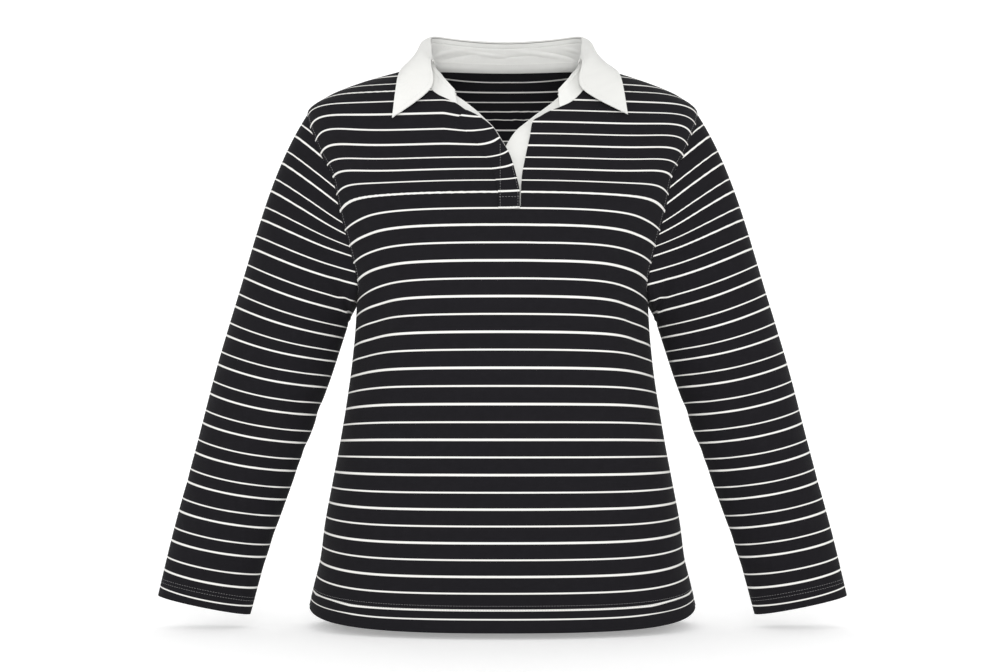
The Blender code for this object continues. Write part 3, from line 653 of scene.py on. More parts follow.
class Socket:
    """A shader value that Python expressions work on."""

    def __init__(self, sheet: "NodeSheet", output: bpy.types.NodeSocket) -> None:
        self.sheet = sheet
        self.output = output

    def _maths(self, operation: str, *values: "Socket | float") -> "Socket":
        return self.sheet.node("ShaderNodeMath", "Value", values, operation=operation)

    def __add__(self, other: "Socket | float") -> "Socket":
        return self._maths("ADD", self, other)

    __radd__ = __add__

    def __sub__(self, other: "Socket | float") -> "Socket":
        return self._maths("SUBTRACT", self, other)

    def __rsub__(self, other: "Socket | float") -> "Socket":
        return self._maths("SUBTRACT", other, self)

    def __mul__(self, other: "Socket | float") -> "Socket":
        return self._maths("MULTIPLY", self, other)

    __rmul__ = __mul__

    def __truediv__(self, other: "Socket | float") -> "Socket":
        return self._maths("DIVIDE", self, other)

    def __lt__(self, other: "Socket | float") -> "Socket":
        return self._maths("LESS_THAN", self, other)

    def __abs__(self) -> "Socket":
        return self._maths("ABSOLUTE", self)

    def rounded(self) -> "Socket":
        """The nearest whole number."""
        return self._maths("ROUND", self)

    def fraction(self) -> "Socket":
        """What is left over a whole number."""
        return self._maths("FRACT", self)

    def sine(self) -> "Socket":
        """The sine of the value."""
        return self._maths("SINE", self)

    def clamped(self) -> "Socket":
        """The value held between 0 and 1."""
        return self._maths("MINIMUM", self._maths("MAXIMUM", self, 0.0), 1.0)


class NodeSheet:
    """The node tree of one material."""

    def __init__(self, name: str) -> None:
        self.material = bpy.data.materials.new(name)
        self.material.use_nodes = True
        self.tree = self.material.node_tree
        self.shader = self.tree.nodes["Principled BSDF"]

    def node(self, kind: str, output: str, values: Sequence = (), **settings) -> Socket:
        """Adds a node.

        Args:
            kind: the node's type.
            output: the name of the output that is returned.
            values: what goes into its inputs, by order or as (name, value) pairs.
            settings: the node's own properties.

        Returns:
            The named output.
        """
        made = self.tree.nodes.new(kind)
        for name, value in settings.items():
            setattr(made, name, value)
        for place, value in enumerate(values):
            if isinstance(value, tuple) and isinstance(value[0], str):
                place, value = value
            self.feed(made.inputs[place], value)
        return Socket(self, made.outputs[output])

    def feed(self, target: bpy.types.NodeSocket, value: "Socket | float | tuple") -> None:
        """Links a socket to an input, or sets the input's own value."""
        if isinstance(value, Socket):
            self.tree.links.new(value.output, target)
        else:
            target.default_value = value

    def mix(self, share: Socket, first, second) -> Socket:
        """A colour between two colours."""
        made = self.tree.nodes.new("ShaderNodeMix")
        made.data_type = "RGBA"
        for name, value in (("Factor_Float", share), ("A_Color", first), ("B_Color", second)):
            target = next(s for s in made.inputs if s.identifier == name)
            self.feed(target, value)
        result = next(s for s in made.outputs if s.identifier == "Result_Color")
        return Socket(self, result)

    def set(self, **values) -> None:
        """Sets or links the shader's own inputs, underscores standing for spaces."""
        for name, value in values.items():
            self.feed(self.shader.inputs[name.replace("_", " ")], value)


@dataclass(frozen=True)
class ClothFinish:
    """The look of one cloth."""

    name: str
    slot: str
    weave: Weave
    colour: tuple[float, float, float]
    roughness: float
    sheen: float
    relief: float
    gloss: float = 0.20
    mottle: float = 0.04     # how much the dye varies
    stripe: tuple[float, float, float] | None = None
    thin: float = 0.0500     # half the thin stripe's width, as a share of the pitch
    thick: float = 0.0680

    def material(self) -> bpy.types.Material:
        """Makes the cloth's material."""
        sheet = NodeSheet(self.name)
        cloth = sheet.node("ShaderNodeUVMap", "UV", uv_map="cloth")
        parts = sheet.tree.nodes.new("ShaderNodeSeparateXYZ")
        sheet.feed(parts.inputs[0], cloth)
        across = Socket(sheet, parts.outputs["X"])
        along = Socket(sheet, parts.outputs["Y"])
        mottle = sheet.node("ShaderNodeTexNoise", "Fac",
                            (("Vector", cloth), ("Scale", 90.0), ("Detail", 3.0)))
        dark = tuple((1.0 - self.mottle) * part for part in self.colour) + (1.0,)
        light = tuple((1.0 + 0.6 * self.mottle) * part for part in self.colour) + (1.0,)
        colour = sheet.mix(mottle, dark, light)
        if self.stripe is not None:
            colour = self.striped(sheet, colour)
        height = self.height(across, along)
        bump = sheet.node("ShaderNodeBump", "Normal",
                          (("Strength", 0.5), ("Distance", self.relief), ("Height", height)))
        sheet.set(Base_Color=colour, Roughness=self.roughness, Normal=bump,
                  Sheen_Weight=self.sheen, Sheen_Roughness=0.45,
                  Specular_IOR_Level=self.gloss)
        return sheet.material

    def striped(self, sheet: NodeSheet, ground: Socket) -> Socket:
        """The ground colour with the stripes over it."""
        number = sheet.node("ShaderNodeAttribute", "Fac", attribute_name="stripe")
        nearest = number.rounded()
        odd = abs(((nearest * 0.5).fraction()) * 2.0)
        half = odd * (self.thick - self.thin) + self.thin
        inside = ((half - abs(number - nearest)) / 0.016 + 0.5).clamped()
        return sheet.mix(inside, ground, (*self.stripe, 1.0))

    def height(self, across: Socket, along: Socket) -> Socket:
        """The cloth's fine relief."""
        turn = 2 * math.pi
        if self.weave is Weave.JERSEY:
            wale = abs((across * (turn / 0.0024)).sine())
            course = (along * (turn / 0.0011) + wale * 2.2).sine()
            return wale * 0.6 + course * 0.4
        if self.weave is Weave.TWILL:
            return ((across + along) * (turn / 0.0011)).sine()
        return (across * (turn / 0.0009)).sine() * (along * (turn / 0.0009)).sine()


JERSEY_FINISH = ClothFinish("striped_jersey", "striped_jersey", Weave.JERSEY,
                            (0.0115, 0.0109, 0.0131), 0.95, 0.03, 0.00025,
                            gloss=0.10, stripe=(0.84, 0.83, 0.80), mottle=0.18)
TWILL_FINISH = ClothFinish("white_twill", "white_twill", Weave.TWILL,
                           (0.80, 0.80, 0.775), 0.85, 0.10, 0.00012)
TAPE_FINISH = ClothFinish("white_tape", "white_tape", Weave.TAPE,
                          (0.78, 0.78, 0.755), 0.85, 0.08, 0.00012)


@dataclass(frozen=True)
class ThreadFinish:
    """The look of a sewing thread."""

    name: str
    slot: str
    colour: tuple[float, float, float]

    def material(self) -> bpy.types.Material:
        """Makes the thread's material, with the twist of its plies."""
        sheet = NodeSheet(self.name)
        place = sheet.node("ShaderNodeTexCoord", "Object")
        plies = sheet.node("ShaderNodeTexNoise", "Fac", (("Vector", place), ("Scale", 2500.0)))
        dark = tuple(0.75 * part for part in self.colour) + (1.0,)
        colour = sheet.mix(plies, dark, (*self.colour, 1.0))
        bump = sheet.node("ShaderNodeBump", "Normal",
                          (("Strength", 0.4), ("Distance", 0.0001), ("Height", plies)))
        sheet.set(Base_Color=colour, Roughness=0.6, Normal=bump, Sheen_Weight=0.1)
        return sheet.material


# The dark thread's colour is raised to light grey: a painted highlight along the stitches, not the
# thread's own colour.
DARK_THREAD_PAINTED_HIGHLIGHT = ThreadFinish("dark_thread_painted_highlight", "striped_jersey", (0.33, 0.325, 0.33))
WHITE_THREAD = ThreadFinish("white_thread", "white_twill", (0.80, 0.80, 0.78))


class Wardrobe:
    """Keeps one material for each finish."""

    def __init__(self) -> None:
        self.made: dict[str, bpy.types.Material] = {}

    def of(self, finish: ClothFinish | ThreadFinish) -> bpy.types.Material:
        """The finish's material, made at its first use."""
        if finish.name not in self.made:
            self.made[finish.name] = finish.material()
        return self.made[finish.name]


@dataclass
class ClothGrid:
    """A fine grid of points on the outside of one piece of cloth."""

    points: np.ndarray
    normals: np.ndarray
    closed: bool = False
    missing: np.ndarray | None = None
    stripe: np.ndarray | None = None

    def lengths(self, axis: int) -> np.ndarray:
        """How far each point lies along its row or column of the cloth, in metres."""
        points = self.points
        if self.closed and axis == 1:
            points = np.concatenate((points, points[:, :1]), axis=1)
        steps = np.linalg.norm(np.diff(points, axis=axis), axis=-1)
        start = np.zeros_like(np.take(steps, [0], axis=axis))
        return np.concatenate((start, np.cumsum(steps, axis=axis)), axis=axis)

    def area(self) -> float:
        """The area of the cloth, in square metres."""
        a, b, c, d = self.corners(self.points.reshape(-1, 3))
        halves = np.linalg.norm(np.cross(b - a, d - a), axis=1)
        halves = halves + np.linalg.norm(np.cross(b - c, d - c), axis=1)
        return float(halves.sum() / 2)

    def squares(self) -> np.ndarray:
        """The numbers of each square's four points, outward side counter-clockwise."""
        rows, columns = self.points.shape[:2]
        spans = columns if self.closed else columns - 1
        row, start = np.mgrid[0:rows - 1, 0:spans]
        end = (start + 1) % columns
        faces = np.stack((row * columns + start, row * columns + end,
                          (row + 1) * columns + end, (row + 1) * columns + start), axis=-1)
        if self.missing is not None:
            faces = faces[~self.missing]
        faces = faces.reshape(-1, 4)
        flat = self.points.reshape(-1, 3)
        normals = self.normals.reshape(-1, 3)
        turned = np.cross(flat[faces[:, 1]] - flat[faces[:, 0]], flat[faces[:, 3]] - flat[faces[:, 0]])
        if np.sum(turned * normals[faces[:, 0]]) < 0:
            faces = faces[:, ::-1]
        return faces

    def corners(self, values: np.ndarray) -> list[np.ndarray]:
        """A value of each of the squares' four corners."""
        faces = self.squares()
        return [values[faces[:, i]] for i in range(4)]

    def uv(self) -> np.ndarray:
        """The cloth's own flat place of each corner of each square, in metres."""
        rows, columns = self.points.shape[:2]
        faces = self.squares()
        width = columns + 1 if self.closed else columns
        across = self.lengths(1)
        middle = across[:, across.shape[1] // 2]
        across = across - middle[:, None]
        upward = self.lengths(0)
        row, place = faces // columns, faces % columns
        if self.closed:
            wraps = (place.max(axis=1) == columns - 1) & (place.min(axis=1) == 0)
            last = place + np.where((place == 0) & wraps[:, None], columns, 0)
        else:
            last = place
        last = np.minimum(last, width - 1)
        return np.stack((across[row, last], upward[row, place]), axis=-1)


class Piece:
    """One named piece of the shirt in the scene."""

    def __init__(self, name: str, mesh: bpy.types.Mesh, material: bpy.types.Material,
                 slot: str, nodes: Sequence[str] = ()) -> None:
        mesh.materials.clear()
        mesh.materials.append(material)
        self.thing = bpy.data.objects.new(name, mesh)
        bpy.context.scene.collection.objects.link(self.thing)
        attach(self.thing, "root")
        if nodes:
            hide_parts(*nodes)


@dataclass
class ClothPiece:
    """A piece of cloth: its grid, wall, finish and the flat cut that it comes from."""

    name: str
    grid: ClothGrid
    wall: float
    finish: ClothFinish
    cut: tuple[float, float]
    held: Held = Held.DRAPED
    rests_on: tuple[str, ...] = ()

    def build(self, wardrobe: Wardrobe) -> bpy.types.Object:
        """Makes the shell over the solid of the same name."""
        faces = self.grid.squares()
        corner_uv = self.grid.uv()
        used, places = np.unique(faces, return_inverse=True)
        faces = places.reshape(faces.shape)
        mesh = bpy.data.meshes.new(self.name)
        mesh.from_pydata(self.grid.points.reshape(-1, 3)[used].tolist(), [], faces.tolist())
        flat = mesh.uv_layers.new(name="cloth")
        flat.data.foreach_set("uv", corner_uv.reshape(-1).astype(np.float32))
        if self.grid.stripe is not None:
            stripe = mesh.attributes.new("stripe", "FLOAT", "POINT")
            values = self.grid.stripe.reshape(-1)[used].astype(np.float32)
            stripe.data.foreach_set("value", values)
        mesh.shade_smooth()
        mesh.update()
        piece = Piece(self.name + "_cloth", mesh, wardrobe.of(self.finish), self.finish.slot,
                      (self.name,))
        self.thicken(piece.thing)
        area = min(self.grid.area(), self.cut[0] * self.cut[1])
        LOG.info("%s: %.4f square metres of %.4f", self.name, area, self.cut[0] * self.cut[1])
        return piece.thing

    def thicken(self, thing: bpy.types.Object) -> None:
        """Gives the shell its wall, with softly rounded cut edges."""
        wall = thing.modifiers.new("wall", "SOLIDIFY")
        wall.thickness = self.wall
        wall.offset = -1.0
        edge = thing.modifiers.new("edge", "BEVEL")
        edge.width = self.wall * 0.3
        edge.segments = 2
        edge.limit_method = "ANGLE"
        edge.angle_limit = math.radians(55)
        edge.harden_normals = True


@dataclass
class Panel:
    """The front or the back: a panel between its side seams, parted in the middle at the top."""

    facing: int
    columns: int
    middle: int
    parted_from: int
    inset: SmoothTable
    folds: tuple[Fold, ...]
    lowered: float = 0.0
    rows: np.ndarray = field(init=False)
    angles: np.ndarray = field(init=False)
    heights: np.ndarray = field(init=False)

    def __post_init__(self) -> None:
        self.rows = fine(TOP_ROW + 1)
        self.lay_out()

    def side(self) -> np.ndarray:
        """Heights of the outer edge, row by row."""
        low = [HEM_SIDE, (HEM_SIDE + VENT_HEIGHT) / 2, VENT_HEIGHT]
        low += list(np.linspace(VENT_HEIGHT, UNDERARM_HEIGHT, SIDE_ROWS - 1))[1:]
        level = np.linspace(UNDERARM_HEIGHT, SHOULDER_HEIGHT, 400)
        front_inset = column(ARMHOLE, "front")
        edge = BODY_FORM.points(math.pi / 2 - np.radians(front_inset(level)), level)
        steps = np.linalg.norm(np.diff(edge, axis=0), axis=1)
        lengths = np.concatenate(((0.0,), np.cumsum(steps)))
        even = np.linspace(0.0, lengths[-1], ARMHOLE_ROWS + 1)[1:]
        coarse = low + list(np.interp(even, lengths, level))
        return np.interp(self.rows, np.arange(TOP_ROW + 1), coarse)

    def inner_ends(self) -> tuple[np.ndarray, np.ndarray, np.ndarray, np.ndarray]:
        """The angles and heights of both inner ends, row by row."""
        rows = np.arange(TOP_ROW + 1)
        if self.facing < 0:
            start = FRONT_OPENING[0]
            low = np.linspace(HEM_MIDDLE, start.right_z, SIDE_ROWS + 1)[:-1]
            steps = [Opening(start.right_x, z, start.left_x, z) for z in low]
            steps += list(FRONT_OPENING)
            table = np.array(steps)
            right_x, right_z, left_x, left_z = (
                SmoothTable(rows, table[:, i])(self.rows) for i in range(4))
            return (BODY_FORM.angle_at(right_x, right_z), right_z,
                    BODY_FORM.angle_at(left_x, left_z), left_z)
        start = BACK_NECK[0]
        rising = TOP_ROW + 1 - len(BACK_NECK)
        low = np.linspace(HEM_MIDDLE, start.z, rising + 1)[:-1]
        table = np.array([(start.x, z) for z in low] + list(BACK_NECK))
        x = SmoothTable(rows, table[:, 0])(self.rows)
        z = SmoothTable(rows, table[:, 1])(self.rows)
        right = -math.pi - BODY_FORM.angle_at(NECK_MIDDLE - x, z)
        left = math.pi - BODY_FORM.angle_at(NECK_MIDDLE + x, z)
        return right, z, left, z

    def lay_out(self) -> None:
        """Works out the angle and height of every point."""
        side = self.side()
        on_armhole = (self.rows > SIDE_ROWS) & (self.rows < TOP_ROW)
        turn = np.where(on_armhole, np.radians(self.inset(side)), 0.0)
        if self.facing < 0:
            open_share = np.clip(1.0 - self.rows / VENT_ROWS, 0.0, 1.0)
            turn = turn + math.radians(VENT_OPENING) * open_share
        outer = math.pi / 2 + self.facing * turn
        bend = 1.0 + (HEM_CURVE - 1.0) * np.maximum(0.0, 1.0 - self.rows / SIDE_ROWS)
        right, right_z, left, left_z = self.inner_ends()
        share = np.linspace(0.0, 1.0, self.columns + 1)[None, :]
        halves = []
        for sign, inner, inner_z in ((-1, right, right_z), (1, left, left_z)):
            angle = sign * outer[:, None] + (inner - sign * outer)[:, None] * share
            height = inner_z[:, None] + (side - inner_z)[:, None] * (1 - share) ** bend[:, None]
            halves.append((angle, height))
        between = np.linspace(0.0, 1.0, self.middle + 1)[None, 1:-1]
        angle = right[:, None] + (left - right)[:, None] * between
        height = right_z[:, None] + (left_z - right_z)[:, None] * between
        self.angles = np.concatenate((halves[0][0], angle, halves[1][0][:, ::-1]), axis=1)
        self.heights = np.concatenate((halves[0][1], height, halves[1][1][:, ::-1]), axis=1)

    def grid(self) -> ClothGrid:
        """The panel's fine cloth."""
        points = BODY_FORM.points(self.angles, self.heights)
        normals = BODY_FORM.normals(self.angles, self.heights)
        points = points + normals * fold_rise(self.folds, points)[..., None]
        seam = self.facing * SEAM_GAP / 2
        low = self.rows <= SIDE_ROWS
        points[low, 0, 1] += seam
        points[low, -1, 1] += seam
        points[-1, 1:-1, 1] += seam
        points[-1, 0, 1] += seam
        points[-1, -1, 1] += seam
        missing = np.zeros((points.shape[0] - 1, points.shape[1] - 1), bool)
        first = self.parted_from * DENSITY
        missing[first:, self.columns:self.columns + self.middle] = True
        stripe = STRIPES.at(self.angles, self.heights, self.lowered)
        return ClothGrid(points, normals, missing=missing, stripe=stripe)

    def edge(self, grid: ClothGrid, side: int) -> tuple[np.ndarray, np.ndarray]:
        """The points and directions of the armhole's edge, underarm to shoulder."""
        place = 0 if side < 0 else -1
        first = SIDE_ROWS * DENSITY
        return grid.points[first:, place], grid.normals[first:, place]


@dataclass
class Sleeve:
    """A sleeve, one tube of cloth from its armhole to its cuff."""

    side: int
    front_edge: tuple[np.ndarray, np.ndarray]
    back_edge: tuple[np.ndarray, np.ndarray]

    def loop(self) -> tuple[np.ndarray, np.ndarray]:
        """The armhole's points and directions, from the shoulder down the front and up the back."""
        points = np.concatenate((self.front_edge[0][::-1], self.back_edge[0][1:-1]))
        normals = np.concatenate((self.front_edge[1][::-1], self.back_edge[1][1:-1]))
        return points, normals

    def arm(self) -> tuple[np.ndarray, np.ndarray]:
        """The arm's fine sections and how far each lies down its outer edge."""
        table = np.array(ARM)
        steps = np.hypot(np.diff(table[:, 0]), np.diff(table[:, 1]))
        lengths = np.concatenate(((0.0,), np.cumsum(steps)))
        places = np.linspace(0.0, lengths[-1], ARM_RINGS * 8 + 1)
        columns = [SmoothTable(lengths, table[:, i])(places) for i in range(table.shape[1])]
        return np.stack(columns, axis=-1), places

    def rings(self, angles: np.ndarray) -> np.ndarray:
        """The points of every section of the arm."""
        sections, _ = self.arm()
        outer = np.stack((self.side * sections[:, 0], sections[:, 5], sections[:, 1]), axis=-1)
        inner = np.stack((self.side * sections[:, 2], sections[:, 5], sections[:, 3]), axis=-1)
        middle = (outer + inner) / 2
        depth = np.zeros((len(sections), len(angles), 3))
        depth[..., 1] = -sections[:, 4][:, None] * np.sin(angles)
        along = (outer - middle)[:, None, :] * np.cos(angles)[None, :, None]
        return middle[:, None, :] + along + depth

    def grid(self) -> ClothGrid:
        """The sleeve's fine cloth."""
        loop, _ = self.loop()
        steps = np.linalg.norm(np.roll(loop, -1, axis=0) - loop, axis=1)
        lengths = np.concatenate(((0.0,), np.cumsum(steps)))
        low = ARMHOLE_ROWS * DENSITY
        underarm = lengths[low]
        before = math.pi * lengths[:-1] / underarm
        after = math.pi * (1 + (lengths[:-1] - underarm) / (lengths[-1] - underarm))
        angles = np.where(lengths[:-1] <= underarm, before, after)
        mirror = np.array((self.side, 1.0, 1.0))
        upper = ((1 + np.cos(angles)) / 2)[:, None]
        leaving = unit(upper * np.array(CAP_LEAVE) * mirror
                       + (1 - upper) * np.array(ARM_ALONG) * mirror)
        rings = self.rings(angles)
        start = loop + leaving * SEAM_GAP
        reach = np.linalg.norm(rings[0] - start, axis=1, keepdims=True)
        arrive = unit(rings[8] - rings[0]) * reach
        cap = []
        for t in np.linspace(0.0, 1.0, CAP_RINGS * 6 + 1)[:-1]:
            swing = t * t * (3 - 2 * t)
            cap.append((1 - swing) * start + swing * rings[0]
                       + t * (1 - t) ** 2 * leaving * reach + t * t * (t - 1) * arrive)
        points = np.concatenate((np.array(cap), rings))
        normals = grid_normals(points, closed=True)
        normals = facing_away(normals, points, points.mean(axis=1, keepdims=True))
        stripe = self.stripe(points, angles)
        rise = self.wrinkle_rise(points, angles)
        return ClothGrid(points + normals * rise[..., None], normals, closed=True, stripe=stripe)

    def wrinkle_rise(self, points: np.ndarray, angles: np.ndarray) -> np.ndarray:
        """How far the wrinkles lift or sink the sleeve."""
        steps = np.linalg.norm(np.diff(points, axis=0), axis=-1).mean(axis=1)
        along = np.concatenate(((0.0,), np.cumsum(steps)))
        total = along[-1]
        around = (angles / (2 * math.pi))[None, :]
        girth = np.linalg.norm(np.roll(points, -1, axis=1) - points, axis=-1).sum(axis=1)
        rise = np.zeros(points.shape[:2])
        for wrinkle in SLEEVE_WRINKLES:
            down = along[:, None] - wrinkle.along * total
            turn = (around - wrinkle.around + 0.5) % 1.0 - 0.5
            over = turn * girth[:, None]
            flow = over / (wrinkle.half_length * 0.5)
            width = (down - wrinkle.lean * over) / wrinkle.half_width
            rise += wrinkle.rise * np.exp(-flow ** 2 - width ** 2)
        fade = np.clip(along / 0.03, 0.0, 1.0) * np.clip((total - along) / 0.04, 0.0, 1.0)
        return rise * fade[:, None]

    def stripe(self, points: np.ndarray, angles: np.ndarray) -> np.ndarray:
        """The stripe number at each point, from lines that fall from the outer edge inwards."""
        outer = points[:, 0]
        steps = np.linalg.norm(np.diff(outer, axis=0), axis=1)
        down = np.concatenate(((0.0,), np.cumsum(steps)))
        tilt = column(SLEEVE_TILT, "degrees")
        places = np.linspace(-0.10, down[-1] + 0.05, 500)
        x = np.interp(places, down, np.abs(outer[:, 0]))
        z = np.interp(places, down, outer[:, 2]) - np.maximum(places - down[-1], 0.0)
        z = z + np.maximum(-places, 0.0)
        slope = np.tan(np.radians(tilt(z)))
        flat = points.reshape(-1, 3).copy()
        bulge = np.sin(angles)
        bulge = np.where(bulge > 0, bulge ** 2, -0.4 * bulge ** 2)[None, :]
        flat[:, 2] += (column(SLEEVE_TILT, "sag")(points[..., 2]) * bulge).reshape(-1)
        lines = z[None, :] - slope[None, :] * (x[None, :] - np.abs(flat[:, :1]))
        above = lines > flat[:, 2:3]
        last = np.clip(above.sum(axis=1) - 1, 0, len(places) - 2)
        row = np.arange(len(flat))
        high, low = lines[row, last], lines[row, last + 1]
        share = np.clip((high - flat[:, 2]) / np.maximum(high - low, 1e-9), 0.0, 1.0)
        place = places[last] + share * (places[last + 1] - places[last])
        number = (down[-1] - LAST_STRIPE - place) / SLEEVE_PITCH
        number = number + SLEEVE_PAIRING * np.cos(math.pi * number)
        return number.reshape(points.shape[:2])


class Neckline:
    """The neckline's seam, from the stand's end on the wearer's right round to the left."""

    def __init__(self, front: ClothGrid, back: ClothGrid, front_columns: int,
                 back_columns: int, front_middle: int) -> None:
        right, left = front_columns, front_columns + front_middle
        first = SIDE_ROWS + STAND_STEP
        neck = TOP_ROW + 1 - len(BACK_NECK)
        places = [(front, row, right) for row in range(first, TOP_ROW + 1)]
        places += [(back, row, back_columns) for row in range(TOP_ROW - 1, neck - 1, -1)]
        places += [(back, row, back_columns + 1) for row in range(neck, TOP_ROW)]
        places += [(front, row, left) for row in range(TOP_ROW, first - 1, -1)]
        self.points = np.array([grid.points[row * DENSITY, place] for grid, row, place in places])
        self.normals = np.array([grid.normals[row * DENSITY, place]
                                 for grid, row, place in places])
        along = np.gradient(self.points, axis=0)
        off = unit(np.cross(along, self.normals))
        centre = np.array((NECK_MIDDLE, 0.0, 0.0))
        towards = np.sum(off * (centre - self.points), axis=1, keepdims=True)
        self.off = np.where(towards < 0, -off, off)


def both_sides(half: Sequence[Sequence[float]]) -> np.ndarray:
    """A row of points for both sides of the neck, from a row for the wearer's left."""
    left = np.array([(NECK_MIDDLE + x, y, z) for x, y, z in half])
    right = np.array([(NECK_MIDDLE - x, y, z) for x, y, z in half])
    return np.concatenate((right[::-1], left))


@dataclass
class Collar:
    """The collar: its stand, its turned-down leaf and the tape over the back neck's seam."""

    neckline: Neckline
    tops: np.ndarray = field(init=False)
    starts: np.ndarray = field(init=False)
    outs: np.ndarray = field(init=False)

    def __post_init__(self) -> None:
        self.tops = both_sides([step.fold for step in LEAF] + list(STAND_FRONT))
        self.starts = self.neckline.points + unit(self.tops - self.neckline.points) * SEAM_GAP
        inside = np.array((NECK_MIDDLE, 0.0, -0.035))
        pair = np.stack((self.starts, self.tops))
        normals = grid_normals(pair)
        self.outs = facing_away(normals, pair, inside)[1]

    def stand(self) -> ClothGrid:
        """The upright band's fine cloth."""
        places = fine(len(self.tops), 5)
        low = through(self.starts, places)
        high = through(self.tops, places)
        share = np.linspace(0.0, 1.0, 41)[:, None]
        points = low[None] + (high - low)[None] * share[..., None]
        inside = np.array((NECK_MIDDLE, 0.0, -0.035))
        normals = facing_away(grid_normals(points), points, inside)
        rise = self.stand_rise(share, np.linalg.norm(high - low, axis=1)[None, :])
        return ClothGrid(points + normals * rise[..., None], normals)

    def stand_rise(self, share: np.ndarray, height: np.ndarray) -> np.ndarray:
        """How far the band's sewn groove and soft creases move it."""
        down = (1.0 - share) * height
        rise = 0.0005 * np.exp(-((down - 0.0056) / 0.0010) ** 2)
        place = np.linspace(-1.0, 1.0, height.shape[1])[None, :]
        for crease in STAND_CREASES:
            along = (place - crease.x) / crease.half_length
            across = (share - crease.z - crease.lean * (place - crease.x)) / crease.half_width
            rise = rise + crease.rise * np.exp(-along ** 2 - across ** 2)
        return rise * np.clip(share / 0.15, 0.0, 1.0) * np.clip((1.0 - share) / 0.04, 0.0, 1.0)

    def leaf(self) -> ClothGrid:
        """The turned-down leaf's fine cloth."""
        ends = len(STAND_FRONT)
        folds = self.tops[ends:-ends]
        outs = self.outs[ends:-ends]
        rises = (self.tops - self.starts)[ends:-ends]
        along = np.gradient(self.tops, axis=0)[ends:-ends]
        ups = unit(np.cross(outs, along))
        ups = np.where(np.sum(ups * rises, axis=1, keepdims=True) < 0, -ups, ups)
        knees = both_sides([step.knee for step in LEAF])
        edges = both_sides([step.edge for step in LEAF])
        edges[-3:] += np.array((0.2, 0.75, 1.0))[:, None] * TIP_SPREAD
        gap = SEAM_GAP + LEAF_WALL
        over = folds - outs * STAND_WALL + ups * (gap + SEAM_GAP)
        corner = folds + (outs + ups) * gap
        below = corner + (knees - corner) * LEAF_ROLL
        curves = np.stack((over, corner, below, knees, edges))
        across = through(curves.transpose(1, 0, 2), fine(len(folds), 5))
        points = through(across.transpose(1, 0, 2), np.linspace(0.0, 4.0, 37))
        inside = points.mean(axis=1, keepdims=True) - np.array((0.0, 0.0, 0.06))
        normals = facing_away(grid_normals(points), points, inside)
        return ClothGrid(points, normals)

    def tape(self) -> ClothGrid:
        """The neck tape's fine cloth."""
        first = ARMHOLE_ROWS - STAND_STEP
        last = len(self.tops) - first
        span = slice(first, last)
        point = self.neckline.points[span]
        normal = self.neckline.normals[span]
        upright = unit(self.tops - self.starts)[span]
        away = self.outs[span]
        depth = STAND_WALL + LAYER_GAP
        low = point - self.neckline.off[span] * TAPE_BELOW - normal * (JERSEY + LAYER_GAP)
        lean = np.sum(normal * away, axis=1, keepdims=True)
        corner = point - (normal + away) * depth / (1 + lean)
        high = point + upright * TAPE_ABOVE - away * depth
        knots = np.stack((low, corner, high))
        across = through(knots.transpose(1, 0, 2), fine(last - first, 5)).transpose(1, 0, 2)
        points = through(across, np.linspace(0.0, 2.0, 9))
        inside = np.array((NECK_MIDDLE, 0.0, 0.0))
        return ClothGrid(points, facing_away(grid_normals(points), points, inside))


@dataclass
class Strip:
    """A placket strip that follows the body's form over or under the front."""

    steps: tuple[StripStep, ...]
    columns: int = 12
    striped: bool = False

    def grid(self) -> ClothGrid:
        """The strip's fine cloth."""
        table = through(np.array(self.steps), fine(len(self.steps), 6))
        share = np.linspace(0.0, 1.0, self.columns + 1)[None, :]
        sewn_x, sewn_z, free_x, free_z, sink = (table[:, i][:, None] for i in range(5))
        x = sewn_x + (free_x - sewn_x) * share
        z = sewn_z + (free_z - sewn_z) * share
        angle = BODY_FORM.angle_at(x, z)
        normals = BODY_FORM.normals(angle, z)
        deepening = (np.maximum(share - 0.2, 0.0) / 0.8) ** 0.6
        start = np.minimum(SEWN_SINK, sink)
        depth = start + (sink - start) * deepening
        if self.striped:
            flush = np.clip((z + 0.155) / 0.025, 0.0, 1.0) * np.clip(1.0 - share / 0.35, 0.0, 1.0)
            depth = depth + flush * 0.0013
        points = BODY_FORM.points(angle, z) - normals * depth[..., None]
        stripe = None
        if self.striped:
            rise = np.interp(z, OVERLAP_HEIGHTS, OVERLAP_LIFTS)
            stripe = STRIPES.at(angle, z - rise * share ** 1.9)
        return ClothGrid(points, normals, stripe=stripe)


class ThreadTint(Enum):
    """Which thread sews a line."""

    BLACK = "black"
    WHITE = "white"


